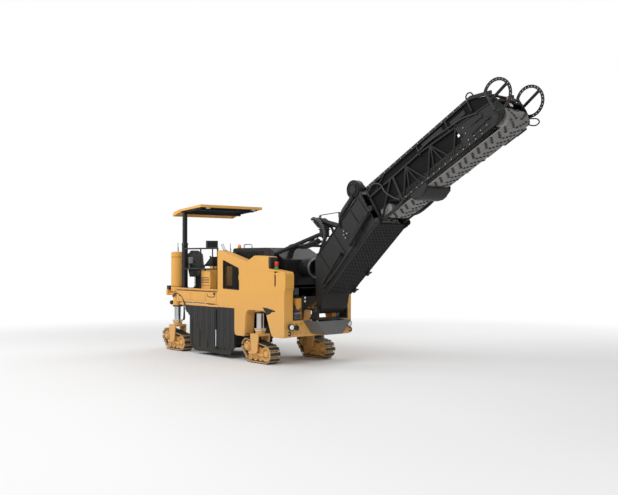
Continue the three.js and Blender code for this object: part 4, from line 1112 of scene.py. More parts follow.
class PLANER_OT_console(bpy.types.Operator):
    """Adds the screens, keys, levers and panels of the operator's console, and the box behind it"""

    bl_idname = "planer.console"
    bl_label = "Console"

    def execute(self, context):
        low = limits("control_console")[0]
        x, z = low.x + 140, low.z
        screen = (-660, -400)
        screens = Form().block((x + 22, x + 31), screen, (z + 1030, z + 1170))
        screens.block((x - 68, x - 58), (-240, 40), (z + 660, z + 730))
        screens.piece("console_screens", "clear polycarbonate", bevel=2)
        trim = Form()
        for y in (-682, -378):
            trim.block((x + 10, x + 84), (y - 5, y + 5), (z + 1004, z + 1196))
        for level in (1004, 1192):
            trim.block((x + 10, x + 84), (-686, -374), (z + level, z + level + 8))
        for level in (1040, 1080, 1120, 1160):
            trim.block((x + 78, x + 88), screen, (z + level - 8, z + level + 8))
        for y in spread(-560, 420, 15):
            trim.turned([(0, 0), (16, 0), (15, 14), (0, 17)], (x - 20, y, z + 705), (-0.6, 0, 1), 14)
        for y in (-470, 330):
            trim.bar((x - 60, y, z + 660), (x - 110, y, z + 790), 9)
            trim.turned(
                [(0, -20), (18, -14), (24, 6), (18, 24), (0, 30)], (x - 112, y, z + 795), (-0.35, 0, 1), 16
            )
        trim.piece("console_trim", "black ABS", bevel=1.5)
        levels = (z + 60, z + 560)
        face = Form().block((x + 158, x + 164), (-540, 400), levels)
        for y in ((-570, -559), (419, 430)):
            face.block((x + 20, x + 150), y, levels)
        face.piece("console_panels", "yellow enamel", bevel=4)
        grey = Form().block((-3190, -3000), (-800, -690), (2230, 2390))
        grey.bar((-3095, -745, 2100), (-3095, -745, 2235), 18)
        grey.piece("aux_box", "grey ABS", bevel=10)
        return {"FINISHED"}


class PLANER_OT_canopy(bpy.types.Operator):
    """Adds the roof's liner, ribs, lamps and the mast's clamps"""

    bl_idname = "planer.canopy"
    bl_label = "Canopy"

    def execute(self, context):
        low, high = limits("canopy_roof")
        rear, front = low.x + 320, high.x - 45

        def under(x):
            """The height of the roof's underside, which rises 85 mm from its rear bend to its front."""
            return 3575 + (x - low.x - 300) * 85 / (high.x - low.x - 300)

        def sheet(form, ends, near, far, y):
            """A sheet that follows the roof between two heights over its underside."""
            start, end = ends
            edge = [(start, under(start) + near), (end, under(end) + near)]
            form.plate([*edge, (end, under(end) + far), (start, under(start) + far)], *y)

        liner = Form()
        sheet(liner, (rear, front), -1, -9, (-835, 835))
        depth = context.scene.planer_sizes.rib_height
        for x in spread(rear + 40, front - 40, 9):
            liner.block((x - 14, x + 14), (-830, 830), (under(x) - depth, under(x) - 6))
        liner.piece("roof_liner", "black ABS", "canopy", bevel=2)
        pressed = Form()
        for y in spread(-720, 720, 5):
            sheet(pressed, (low.x + 330, high.x - 90), 28, 38, (y - 90, y + 90))
        pressed.piece("roof_pressings", "yellow enamel", "canopy", bevel=8)
        lamps, lenses, eave = Form(), Form(), under(front)
        for y in (-700, 700):
            lamps.block((front - 60, front - 5), (y - 70, y + 70), (eave - 70, eave - 8))
            lenses.block((front - 6, front), (y - 60, y + 60), (eave - 62, eave - 16))
        lamps.piece("roof_lamps", "black ABS", "canopy", bevel=6)
        lenses.piece("roof_lenses", "clear polycarbonate", "canopy", bevel=2)
        foot, top = limits("mast_socket")
        half, reach = 55, 62  # the mast's half width, and its collars'
        x, y, z_top = foot.x + half, foot.y + half, top.z - 30
        collar = Form()
        for z in (foot.z + 30, 2260, z_top):
            for band in ((-reach, -half), (half, reach)):
                collar.block((x + band[0], x + band[1]), (y - reach, y + reach), (z - 18, z + 18))
                collar.block((x - reach, x + reach), (y + band[0], y + band[1]), (z - 18, z + 18))
        collar.piece("mast_collars", "black powder coat", bevel=2)
        bolts = Form().bolts([(x + reach, y + d, z_top) for d in (-30, 30)], ALONG, 20, 10)
        bolts.bolts([(x + d, y - reach, z_top) for d in (-30, 30)], (0, -1, 0), 20, 10)
        bolts.piece("mast_bolts", "zinc plate")
        return {"FINISHED"}


# ---------------------------------------------------------------- cutter
def wave(start, end, y, depth, folds, thick):
    """The outline of a hanging curtain seen from above: even folds of a sheet with some thickness."""
    face = []
    for x in spread(start, end, folds * 8 + 1):
        turn = (x - start) / (end - start) * folds * 2 * math.pi
        face.append((x, y + depth * math.sin(turn) * (0.7 + 0.3 * math.sin(turn / 2.7))))
    return face + [(x, fold + thick) for x, fold in reversed(face)]


class PLANER_OT_drum(bpy.types.Operator):
    """Builds the milling drum: barrel, flights, holders and picks"""

    bl_idname = "planer.drum"
    bl_label = "Milling drum"

    def execute(self, context):
        x, y0, z = cutter_x(), -880, 560
        width, radius, shaft, boss = 1220, 400, 90, 300
        middle = y0 + width / 2
        near_end = [(0, -35), (shaft, -35), (shaft, 0), (boss, 0), (radius, 4)]
        far_end = [(r, width - along) for r, along in reversed(near_end)]
        drum = Form().turned(near_end + far_end, (x, y0, z), ACROSS, 56)
        starts, lead = 3, 1500

        def angle(y, start):
            """Where a flight stands round the drum: flights wind in from both ends."""
            return 2 * math.pi * (abs(y - middle) / lead + start / starts) + (
                0 if y < middle else math.pi / starts
            )

        for start in range(starts):
            for ends in ((y0 + 14, middle - 20), (middle + 20, y0 + width - 14)):
                rings = []
                for y in spread(*ends, 26):
                    turn = angle(y, start)
                    out, along = Vector((math.cos(turn), 0, math.sin(turn))), Vector(ACROSS)
                    foot = Vector((x, y, z)) + out * (radius - 8)
                    crest = [foot + along * half + out * 42 for half in (11, -11)]
                    rings.append([foot - along * 13, foot + along * 13, *crest])
                drum.loft(rings)
        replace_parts(drum.piece("drum", "forged steel", "drum"), "milling_drum")
        holders, picks = Form(), Form()
        for k, y in enumerate(spread(y0 + 26, y0 + width - 26, 48)):
            turn = angle(y, k % starts)
            out = Vector((math.cos(turn), 0, math.sin(turn)))
            ahead = Vector((-math.sin(turn), 0, math.cos(turn)))
            foot = Vector((x, y, z)) + out * (radius + 8)
            lean = (out * 0.62 + ahead * 0.78).normalized()
            holders.bar(foot - lean * 10, foot + lean * 52, 25, 10)
            reach = foot + lean * 52
            pick = ((0, 19), (14, 17), (20, 11), (40, 7), (48, 1.5))
            picks.loft([circle(reach + lean * along, lean, r, 10) for along, r in pick])
        holders.piece("drum_holders", "forged steel", "drum")
        picks.piece("drum_picks", "hard chrome", "drum")
        return {"FINISHED"}


class PLANER_OT_side_plates(bpy.types.Operator):
    """Adds the apron, skids, lifting cylinder, bolts and scraper edge around the drum"""

    bl_idname = "planer.side_plates"
    bl_label = "Drum side plates"

    def execute(self, context):
        apron = Form()
        for start, end, folds in ((-2915, -1610, 14), (-1500, -800, 8)):
            edge = wave(start, end, -974, 13, folds, 7)
            # The rear lower corner is cut away along a slant so that the steered track clears it.
            hem = [(x, y, 235 + 0.69 * max(0, -1700 - x)) for x, y in edge]
            apron.loft([hem, [(x, y, 1185) for x, y in edge]])
        apron.block((-2915, -800), (-962, -950), (1150, 1190))
        apron.piece("side_apron", "apron rubber")
        sole = [(-2620, 300), (-2560, 110), (-2480, 86), (-1060, 86), (-980, 110), (-900, 300)]
        skid = Form().plate([*sole, (-950, 300), (-1010, 150), (-2530, 150), (-2570, 300)], -951, -942)
        skid.piece("side_skid_r", "black powder coat", "side_plate_right", bevel=2)
        ribs = Form()
        for x in (-2650, -2300, -1950, -1250, -900):
            ribs.block((x - 12, x + 12), (-957, -944), (200, 880))
        ribs.piece("side_plate_ribs", "black powder coat", "side_plate_right", bevel=2)
        x, y = -1556, -968  # the lift cylinder's line
        barrel = Form().bar((x, y, 660), (x, y, 1130), 30, 20)
        barrel.turned([(24, -14), (33, -14), (33, 14), (24, 14)], (x, y, 668), UP, 20, hollow=True)
        barrel.block((x - 40, x + 40), (-990, -945), (1090, 1150))
        barrel.piece("plate_lift_barrel", "black powder coat", bevel=2)
        rod = Form().bar((x, y, 250), (x, y, 800), 19, 18)
        rod.piece("plate_lift_rod", "hard chrome", "side_plate_right")
        ring = [(19, -20), (36, -20), (36, 20), (19, 20)]
        eye = Form().turned(ring, (x, -966, 236), ACROSS, 20, hollow=True)
        eye.block((x - 60, x + 60), (-957, -944), (170, 300)).bar((x, -996, 236), (x, -945, 236), 19, 16)
        eye.piece("plate_lift_eye", "black powder coat", "side_plate_right", bevel=2)
        low, high = limits("drum_side_plate_l")
        skid = Form().block((low.x + 200, high.x - 200), (low.y + 12, high.y + 14), (86, 150))
        skid.piece("side_skid_l", "scoured steel", "side_plate_left", bevel=4)
        face = limits("belt_drive_cover")[1].y
        pulleys = (((cutter_x() + 60, face, 760), 290, 10), ((-1250, face, 820), 230, 8))
        rim = [spot for centre, radius, count in pulleys for spot in circle(centre, ACROSS, radius, count)]
        Form().bolts(rim, ACROSS, 24, 10).piece("drive_cover_bolts", "zinc plate")
        low, high = limits("scraper")
        edge = Form().block((low.x + 30, high.x - 2), (low.y, high.y), (low.z - 20, low.z + 50))
        heads = [(low.x + 29, y, 116) for y in spread(low.y + 60, high.y - 60, 9)]
        edge.bolts(heads, (-1, 0, 0), 30, 14)
        edge.piece("scraper_edge", "scoured steel", bevel=3)
        return {"FINISHED"}


def cutter_x():
    """The drum's distance behind the front legs, as an X in the machine's millimetres."""
    return (joint_place("drum_spin").x - joint_place("steer_fl").x) / MM


# ---------------------------------------------------------------- hood, duct and conveyor mounting
class PLANER_OT_hood(bpy.types.Operator):
    """Adds the hood's louvres, handle and beacon, the exhaust, the duct's bands and the bay's hydraulics"""

    bl_idname = "planer.hood"
    bl_label = "Hood and duct"

    def execute(self, context):
        low, high = limits("engine_hood")
        for side in SIDES:
            louvres = Form(side_axes(side))
            for x in spread(low.x + 110, high.x - 290, 17):
                louvres.plate([(x, 597), (x + 40, 616), (x + 45, 616), (x + 48, 597)], 2345, 2525, "z")
            louvres.block((high.x - 170, high.x - 60), (597, 612), (2350, 2420))
            louvres.piece("hood_louvres_" + side, "black ABS", "hood", bevel=1)
        shell = Form().block((low.x + 130, high.x - 260), (-520, 520), (high.z - 4, high.z + 6))
        shell.block((low.x + 40, low.x + 90), (-560, 560), (high.z - 36, high.z - 22))
        shell.piece("hood_top", "black powder coat", "hood", bevel=5)
        grip = ((-1330, 2600), (-1332, 2675), (-1290, 2692), (-1060, 2692), (-1022, 2675), (-1020, 2600))
        Form().hose([(x, -300, z) for x, z in grip], 13).piece("hood_handles", "zinc plate", "hood")
        x, y = -1350, -850
        pipe = Form().turned([(30, 2150), (40, 2150), (40, 2560), (30, 2560)], (x, y, 0), UP, 24, hollow=True)
        pipe.bar((x, y, 2530), (x - 110, y, 2690), 38, 24).block((x - 20, x + 20), (-930, -840), (2200, 2260))
        pipe.piece("exhaust", "zinc plate")
        dome = [(0, 0), (46, 0), (46, 20), (38, 70), (26, 84), (0, 88)]
        beacon = Form().turned(dome, (-1365, -420, 2606), UP, 24)
        beacon.piece("beacon", "amber polycarbonate", "hood")
        foot = Form().block((-1399, -1318), (-465, -375), (2597, 2608))
        foot.piece("beacon_foot", "black ABS", "hood", bevel=3)
        self.duct()
        self.bay()
        return {"FINISHED"}

    def duct(self):
        low, high = limits("suction_duct")
        middle = (0, 0, (low.z + high.z) / 2)
        section = [(194, 962), (229, 962), (229, 974), (222, 978), (194, 978)]
        rim = Form().turned(section, middle, ALONG, 48, hollow=True)
        rim.piece("duct_rim", "zinc plate")
        section = [(203, 602), (208, 602), (208, 960), (203, 960)]
        sleeve = Form().turned(section, middle, ALONG, 48, hollow=True)
        sleeve.piece("duct_sleeve", "black powder coat")
        rings = Form()
        for x in (640, 730, 820, 910):
            section = [(204, x - 8), (213, x - 6), (213, x + 6), (200, x + 8)]
            rings.turned(section, middle, ALONG, 48, hollow=True)
        rings.bolts(circle((975, 0, middle[2]), ALONG, 212, 12), ALONG, 18, 8)
        for y in spread(-560, -260, 7):
            for centre in (y, -y):
                rings.block((598, 612), (centre - 12, centre + 12), (1800, 2290))
        rings.piece("duct_bands", "black powder coat", bevel=1.5)

    def bay(self):
        """Valve blocks and hoses in the bay behind the front beam."""
        for side in SIDES:
            block = Form(side_axes(side)).block((960, 1060), (520, 700), (1010, 1150))
            block.block((900, 1010), (540, 680), (1560, 1700))
            block.bolts([(1060, y, z) for y in (550, 610, 670) for z in (1040, 1120)], ALONG, 34, 22)
            block.piece("valve_block_" + side, "cast iron", bevel=4)
            hoses, unions = Form(side_axes(side)), Form(side_axes(side))
            for i, y in enumerate(spread(540, 690, 5)):
                rise = [(1040, y, 1148), (1050, y - 10, 1230), (1010 - 30 * i, y - 40, 1380)]
                hoses.hose([*rise, (960 - 20 * i, y - 20, 1500), (950, y, 1565)], 13)
                unions.turned([(0, 0), (19, 0), (19, 22), (15, 34), (0, 34)], (1040, y, 1148), UP, 6)
            hoses.piece("bay_hoses_" + side, "hydraulic hose")
            unions.piece("bay_unions_" + side, "zinc plate")


class PLANER_OT_rear(bpy.types.Operator):
    """Adds the rear lamps and the hoses that hang at the machine's corners"""

    bl_idname = "planer.rear"
    bl_label = "Rear lamps and corner hoses"

    def execute(self, context):
        low, high = limits("rear_bumper")
        lamps, lens = Form(), Form()
        for out in (-1, 1):
            width = sorted((out * (high.y - 10), out * (high.y - 120)))
            lamps.block((low.x + 8, low.x + 120), width, (high.z - 2, high.z + 100))
            lens.block((low.x + 2, low.x + 9), (width[0] + 12, width[1] - 12), (high.z + 10, high.z + 88))
            x, y, z = low.x + 190, out * (high.y - 60), low.z - 50
            lamps.turned([(0, -40), (52, -30), (58, 30), (0, 30)], (x, y, z), (-1, 0, 0), 24)
            lamps.block((x - 20, x + 20), (y - 20, y + 20), (z, low.z + 4))
            lens.turned([(0, 28), (50, 28), (44, 40), (0, 44)], (x, y, z), (-1, 0, 0), 24)
        lamps.piece("rear_lamp_bodies", "black ABS", bevel=5)
        lens.piece("rear_lenses", "red polycarbonate", bevel=2)
        hose = Form()
        for side in (-1, 1):
            along = [(-3400, side * 950, 1440), (-3250, side * 972, 1462), (-3060, side * 978, 1390)]
            down = [(-2950, side * 976, 1250), (-2920, side * 965, 1178), (-2890, side * 955, 1165)]
            hose.hose(along + down, 20)
        hose.hose(
            [(820, 920, 1500), (900, 955, 1420), (905, 960, 1100), (870, 958, 820), (800, 920, 760)], 30
        )
        hose.piece("corner_hoses", "hydraulic hose")
        return {"FINISHED"}


class PLANER_OT_gantry(bpy.types.Operator):
    """Adds the gantry's flanges and hoses and the slewing gear's bolts and pins"""

    bl_idname = "planer.gantry"
    bl_label = "Gantry"

    def execute(self, context):
        plates, bolts = Form(), Form()
        for out in (-1, 1):
            y = sorted((out * 600, out * 742))
            plates.block((258, 402), y, (2440, 2455)).block((240, 420), y, (1482, 1500))
            bolts.bolts([(x, out * d, 1500) for x in (262, 398) for d in (640, 715)], UP, 26, 14)
        for z in (2840, 2990):
            flange = [(112, z), (132, z), (132, z + 22), (112, z + 22)]
            plates.turned(flange, (1250, 0, 0), UP, 32, hollow=True)
        plates.piece("gantry_plates", "black powder coat", bevel=2)
        bolts.bolts(circle((1250, 0, 3013), UP, 121, 12), UP, 14, 6)
        bolts.piece("gantry_bolts", "zinc plate")
        hoses = Form()
        over = [(20, -60, 2540), (70, -60, 2620), (180, -60, 2662), (352, -60, 2668), (611, -60, 2640)]
        hoses.hose([*over, (800, -70, 2700), (1000, -90, 2780)], 26)
        for y, drop in ((-400, 0), (-350, 30), (-300, 55)):
            rise = [(450, y, 2330), (480, y, 2450 - drop), (560, y, 2600 - drop), (700, y, 2655 - drop)]
            across = [(900, y + 60, 2650 - drop), (1085, y + 200, 2720 - drop), (1190, y + 280, 2800 - drop)]
            hoses.hose(rise + across, 24)
        hoses.piece("gantry_hoses", "hydraulic hose")
        moving = Form()
        for y, out in ((-130, 0), (130, 0), (-165, 35)):
            start, end = [(1010, y, 3230), (1140, y, 3225)], [(1400 + out, y, 2790), (1360, y, 2650)]
            moving.hose([*start, (1290 + out, y, 3120), (1395 + out, y, 2950), *end], 30)
        moving.piece("slew_hoses", "hydraulic hose", "slew")
        pins, ribs = Form(), Form()
        lug = [(1280, 1062), (1530, 1062), (1530, 1240), (1500, 1240), (1490, 1100), (1300, 1085)]
        for out in (-1, 1):
            facing = (0, out, 0)
            pins.turned([(0, 0), (44, 0), (44, 12), (0, 12)], (1000, out * 105, 3220), facing, 20)
            pins.bolts(circle((1450, out * 455, 1250), facing, 48, 6), facing, 16, 8)
            boss = [(0, 0), (70, 0), (70, 14), (60, 20), (0, 20)]
            ribs.turned(boss, (1450, out * 435, 1250), facing, 28)
            ribs.plate(lug, out * 436, out * 448)
            ribs.plate([(1180, 3050), (990, 3265), (1010, 3275), (1200, 3070)], out * 105, out * 116)
        pins.piece("slew_pins", "zinc plate", "slew")
        ribs.piece("slew_ribs", "black powder coat", "slew", bevel=2)
        return {"FINISHED"}


# ---------------------------------------------------------------- lower conveyor section
# s runs along the conveyor from its luffing pin and h stands square to it; the fold pin is at FOLD_S, FOLD_H.
FOLD_S, FOLD_H, LOWER_TOP = 2636, 94, 854


def lower_half(s):
    """Half the lower section's width at a distance along it."""
    return 370 + 80 * min(max(s / FOLD_S, 0), 1)


def lower_strip(form, side, s, out, h):
    """A strip along one side of the lower section, following its taper."""
    section = [(out[0], h[0]), (out[0], h[1]), (out[1], h[1]), (out[1], h[0])]
    form.loft([[(at, side * (lower_half(at) + a), b) for a, b in section] for at in s])


class PLANER_OT_lower(bpy.types.Operator):
    """Adds the lower conveyor's slotted guard, flanges, spreader bars, blower, hoses and cylinder fittings"""

    bl_idname = "planer.lower"
    bl_label = "Lower conveyor"

    def execute(self, context):
        self.guard(context.scene.planer_sizes.slot_pitch)
        self.flanges()
        self.blower()
        self.cylinders()
        return {"FINISHED"}

    def guard(self, pitch):
        """A slotted sheet under the belt: cross strips joined by staggered bridges."""
        sheet = Form(LOWER)
        start, end = 430, 2550
        for row, s in enumerate(spread(start, end, round((end - start) / pitch))):
            half, bridges = lower_half(s) - 12, 9
            sheet.plate([(s - 11, -half), (s + 11, -half), (s + 29, half), (s + 7, half)], 74, 84, "z")
            for k in range(bridges):
                y = -half + (k + 0.25 + 0.5 * (row % 2)) * 2 * half / bridges
                if y < half - 24:
                    sheet.block((s, s + pitch), (y, y + 22), (75, 83))
        for side in (-1, 1):
            lower_strip(sheet, side, (400, 2590), (-30, 6), (70, 92))
        sheet.piece("slotted_guard", "black powder coat", "lower_section")
        # The backing behind the slots is near black: painted shade for the recess behind the guard.
        backing = Form(LOWER).plate([(400, -360), (2580, -430), (2580, 430), (400, 360)], 88, 93, "z")
        backing.piece("guard_backing", "painted shade black", "lower_section")

    def flanges(self):
        rails = Form(LOWER)
        for side in (-1, 1):
            lower_strip(rails, side, (800, 2560), (-30, 16), (846, 864))
            lower_strip(rails, side, (420, 2560), (0, 12), (100, 128))
            for s in (880, 1500, 2210):
                lower_strip(rails, side, (s, s + 14), (0, 14), (128, 846))
            lower_strip(rails, side, (2520, 2560), (0, 14), (420, 846))
            rails.turned(
                [(0, 0), (62, 0), (62, 12), (50, 20), (0, 20)], (FOLD_S, side * 450, FOLD_H), (0, side, 0), 28
            )
        rails.block((2400, 2560), (-440, 440), (846, 866))
        rails.piece("lower_flanges", "black powder coat", "lower_section", bevel=2)
        bolts = Form(LOWER)
        for side in (-1, 1):
            bolts.bolts([(s, side * (lower_half(s) - 6), 864) for s in spread(840, 2480, 11)], UP, 24, 10)
        bolts.bolts([(1750, -445, 480), (1840, -445, 516)], (0, -1, 0), 40, 20)
        bolts.bolts([(1750, -445, 560), (1800, -445, 620)], (0, -1, 0), 34, 18)
        bolts.piece("lower_bolts", "zinc plate", "lower_section")
        # Round spreader bars stand off both sides on short brackets.
        bars = Form(LOWER)
        for side in (-1, 1):
            bars.bar((560, side * 446, 255), (1430, side * 476, 330), 27, 16)
            for s, h in ((600, 258), (1400, 327)):
                bars.block((s - 26, s + 26), sorted((side * 385, side * 462)), (h - 30, h + 30))
        bars.piece("spreader_bars", "black powder coat", "lower_section", bevel=4)
        hoses = Form(LOWER)
        for h in (190, 146):
            out_of_wall = [(430, 368, h), (500, 405, h), (600, 428, h)]
            hoses.hose([*out_of_wall, (1200, 445, h + 5), (1560, 440, h), (1640, 425, 150)], 18)
        out_of_wall = [(430, -368, 200), (500, -405, 200), (600, -430, 195)]
        hoses.hose([*out_of_wall, (1000, -448, 180), (1500, -455, 200), (1900, -462, 210)], 14)
        hoses.piece("lower_hoses", "hydraulic hose", "lower_section")
        clamps = Form(LOWER)
        for s in (600, 1150):
            clamps.block((s - 26, s + 26), (380, 470), (110, 226))
        for s in (560, 1120):
            clamps.block((s - 90, s + 20), (380, 440), (38, 96))
            clamps.bar((s - 60, 410, 60), (s + 60, 420, 20), 16, 8)
        clamps.piece("hose_clamps", "black ABS", "lower_section", bevel=4)

    def blower(self):
        s, h = 2490, LOWER_TOP + 309
        middle = (s, 0, h)
        band = [(188, -328), (196, -322), (196, -178), (188, -172)]
        volute = Form(LOWER).turned(band, middle, ACROSS, 40, hollow=True)
        for radius in (60, 110, 160):
            ring = [(radius, -342), (radius + 9, -342), (radius + 9, -328), (radius, -328)]
            volute.turned(ring, middle, ACROSS, 32, hollow=True)
        grille = Vector((s, -338, h))
        for turn in spread(0, 2 * math.pi, 9)[:-1]:
            tip = Vector((math.cos(turn), 0, math.sin(turn)))
            volute.bar(grille + tip * 50, grille + tip * 172, 6, 6)
        volute.turned([(0, -170), (120, -170), (120, -60), (100, -40), (0, -40)], middle, ACROSS, 28)
        volute.block((s - 60, s + 60), (-170, -60), (LOWER_TOP, h - 90))
        volute.piece("blower_volute", "black powder coat", "lower_section", bevel=2)
        drop = [(2520, -330, 3640), (2420, -365, 3500), (2300, -388, 3350)]
        sweep = [(2236, -392, 3225), (2215, -392, 3110), (2245, -380, 3005)]
        hose = Form().hose(drop + sweep, 58, sides=20, steps=12, ripple=0.12)
        hose.piece("blower_hose", "hydraulic hose", "lower_section")

    def cylinders(self):
        """Glands, ports and hoses of the luffing and folding cylinders."""
        barrels = (
            ("luff_barrel", "luff_barrel", 66),
            ("fold_barrel_l", "fold_barrel_left", 44),
            ("fold_barrel_r", "fold_barrel_right", 44),
        )
        for node, body, radius in barrels:
            start, turn = joint_place(body + "_tilt"), joint_slope(node, body)
            axes = Matrix.Translation(start) @ Matrix.Rotation(-turn, 4, "Y") @ Matrix.Scale(MM, 4)
            port = Form(axes)
            for along in ((90, 140), (720, 770)):
                port.block(along, (-16, 16), (radius - 14, radius + 22))
            inside, outside = radius - 10, radius + 3
            gland = [(inside, 774), (outside, 774), (outside, 812), (inside, 812)]
            port.turned(gland, ORIGIN, ALONG, 24, hollow=True)
            port.bar((120, 0, radius + 24), (745, 0, radius + 24), 9)
            port.piece(node + "_ports", "black powder coat", body, bevel=2)
        for side, rod in ((-1, "fold_rod_right"), (1, "fold_rod_left")):
            section = [(17, 474), (50, 474), (50, 526), (17, 526)]
            eye = Form(UPPER).turned(section, (10, 0, 290), (0, side, 0), 24, hollow=True)
            eye.piece(rod + "_eye", "black powder coat", rod, bevel=2)


def joint_slope(node, body):
    """How steeply a cylinder lies at rest, from the box of its barrel on either side of its pin."""
    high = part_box(node)[1]
    start = joint_place(body + "_tilt")
    return math.atan2(high[2] - start.z, high[0] - start.x)


# ---------------------------------------------------------------- upper conveyor section
# Here s runs along the upper conveyor from the fold pin and h stands square to it.
HEAD = (3320, 120, 165)  # s, h and radius of the drive pulley
TAIL = (200, 150, 140)  # the same for the tail roller
BELT = 12  # the belt's thickness
HOOP = (3565, 405)  # the middle of the guard hoops
TOP_CHORD, LOW_CHORD = 830, -20  # the truss from its highest h to the lowest


def arc(centre, radius, start, end, count):
    """Points on an arc between two angles in radians."""
    return [
        (centre[0] + radius * math.cos(t), centre[1] + radius * math.sin(t))
        for t in spread(start, end, count)
    ]


class PLANER_OT_upper(bpy.types.Operator):
    """Builds the upper conveyor's trussed sides, head, hoops and drive"""

    bl_idname = "planer.upper"
    bl_label = "Upper conveyor"

    def execute(self, context):
        for side in (-1, 1):
            self.side(side)
            self.hoop(side)
        self.across()
        self.drive()
        self.lamps()
        return {"FINISHED"}

    def side(self, side):
        name = "r" if side < 0 else "l"
        near, far = side * 306, side * 350
        truss = Form(UPPER)
        top = [(-98, 768), (2960, 768), (3392, 585), (3420, 636), (3000, TOP_CHORD), (-92, TOP_CHORD)]
        middle = [(-66, 566), (1500, 598), (3440, 425), (3440, 456), (1500, 634), (-68, 604)]
        low_edge = [(20, LOW_CHORD), (520, LOW_CHORD), (760, 40), (3280, 40)]
        low = [*low_edge, (3280, 96), (760, 96), (520, 40), (20, 40)]
        for chord in (top, middle, low):
            truss.plate(chord, near, far)
        y = side * 330
        for s, lean in zip(spread(740, 2150, 5), (1, -1, 1, -1, 1)):
            foot, head = (s, s + 330) if lean > 0 else (s + 330, s)
            truss.bar((foot, y, 70), (head, y, 580), 21, 8)
            truss.bar((head, y, 580), (head + lean * 170, y, 70), 16, 8)
        for s in (700, 2470):
            truss.block((s - 24, s + 24), sorted((near, far)), (70, 585))
        for s in (1500, 2300, 2900):
            truss.block((s - 14, s + 14), sorted((near, far)), (560, 780))
        post = [(-98, TOP_CHORD), (-34, TOP_CHORD), (46, LOW_CHORD), (-4, LOW_CHORD), (-30, 200)]
        truss.plate(post, near, far)
        truss.bar((60, side * 334, 40), (620, side * 334, 590), 22, 8)
        truss.bar((120, side * 334, 590), (520, side * 334, 780), 18, 8)
        made = truss.piece("upper_frame_" + name, "black powder coat", "upper_section", bevel=4)
        if side < 0:
            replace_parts(made, "conveyor_upper")
        # The sheets set back inside the truss are near black: painted shade for the recess.
        sheets = Form(UPPER)
        high = [(-70, 600), (1500, 630), (3400, 452), (3420, 560), (2960, 772), (-92, 772)]
        sheets.plate(high, side * 308, side * 314)
        sheets.plate([(-10, 230), (3100, 230), (3100, 600), (-60, 600)], side * 302, side * 307)
        sheets.piece("upper_sheets_" + name, "painted shade black", "upper_section")
        cheek = [
            (2480, 52), (2480, 502), (3300, 430), (3410, 396), *arc((3290, 235), 205, 0.8, -1.3, 14),
            (3200, 44),
        ]
        head = Form(UPPER).plate(cheek, side * 336, side * 347)
        doubler = [(2560, 110), (2560, 450), (2700, 440), (2900, 300), (3120, 300), (3120, 110)]
        head.plate(doubler, side * 345, side * 354)
        bearing = [(0, 345), (92, 345), (92, 358), (74, 370), (40, 370), (40, 380), (0, 380)]
        head.turned(bearing, (HEAD[0], 0, HEAD[1]), (0, side, 0), 28)
        head.block((2760, 3060), sorted((side * 345, side * 364)), (330, 420))
        head.bar((2700, side * 358, 190), (3180, side * 358, 230), 13, 8)
        head.block((1620, 2180), sorted((side * 312, side * 336)), (660, 740))
        head.block((2380, 2760), sorted((side * 312, side * 338)), (610, 700))
        head.piece("head_cheek_" + name, "black powder coat", "upper_section", bevel=3)
        bolts = Form(UPPER)
        for h, start, count in ((799, 60, 18), (68, 820, 14)):
            bolts.bolts([(s, side * 350, h) for s in spread(start, 2900, count)], (0, side, 0), 22, 9)
        round_head = [(2600, h) for h in (150, 290, 410)] + [(s, 140) for s in (2740, 2900, 3060)]
        bolts.bolts([(s, side * 354, h) for s, h in round_head], (0, side, 0), 22, 9)
        bolts.piece("upper_bolts_" + name, "zinc plate", "upper_section")

    def hoop(self, side):
        """A guard hoop at the head: a perforated arc closed by a chord, with a spoke and two stays."""
        y = side * 480
        facing, half, outer, band = 0.05, 2.3, 300, 58
        inner = outer - band
        outline = arc(HOOP, outer, facing - half, facing + half, 40)
        outline += arc(HOOP, inner, facing + half, facing - half, 40)
        centreline = outer - band / 2
        spots = arc(HOOP, centreline, facing - 1.85, facing + 1.85, 16)
        holes = [arc(spot, 12, 0, 2 * math.pi, 11)[:-1] for spot in spots]
        ring = Form(UPPER).plate(outline, y - 9, y + 9, holes=holes)
        ends = arc(HOOP, centreline, facing - half, facing + half, 2)
        middle = ((ends[0][0] + ends[1][0]) / 2, (ends[0][1] + ends[1][1]) / 2)
        crown = arc(HOOP, inner + 6, facing + 0.15, facing + 0.2, 2)[0]
        for (s0, h0), (s1, h1) in (ends, (middle, crown)):
            ring.bar((s0, y, h0), (s1, y, h1), 29, 8)
        for s, h in ((HOOP[0] - 182, 536), (HOOP[0] - 167, 246)):
            ring.bar((s, side * 330, h), (s, y, h), 20, 8)
            ring.turned([(0, 350), (36, 350), (36, 360), (0, 360)], (s, 0, h), (0, side, 0), 12)
        ring.piece("hoop_" + ("r" if side < 0 else "l"), "black powder coat", "upper_section", bevel=2)

    def across(self):
        beams = Form(UPPER)
        for s, h in ((300, 740), (1050, 740), (1800, 740), (2550, 740), (3400, 540)):
            beams.bar((s, -310, h), (s, 310, h), 25, 12)
        beams.plate([(60, 440), (3300, 420), (3300, 428), (60, 448)], -302, 302)
        belly = [(1190, -136), (1075, -140)]
        beams.plate([(930, -48), (1360, -52), (1345, -92), *belly, (960, -98)], -336, 336)
        for side in (-1, 1):
            beams.plate([(900, 60), (1390, 60), (1360, -52), *belly, (940, -60)], side * 336, side * 350)
        beams.plate([(3300, 396), (3480, 352), (3500, 374), (3310, 420)], -330, 330)
        beams.piece("upper_beams", "black powder coat", "upper_section", bevel=3)
        handle = ((2900, 825), (2915, 880), (2980, 905), (3040, 870), (3060, 795))
        loops = Form(UPPER).hose([(s, -330, h) for s, h in handle], 13)
        ahead = [(3420, 340, 100), (3490, 420, 70), (3560, 440, 10), (3560, 440, -60)]
        loops.hose([*ahead, (3480, 430, -70), (3410, 390, -20), (3380, 340, 50)], 12)
        loops.piece("upper_loops", "black powder coat", "upper_section")

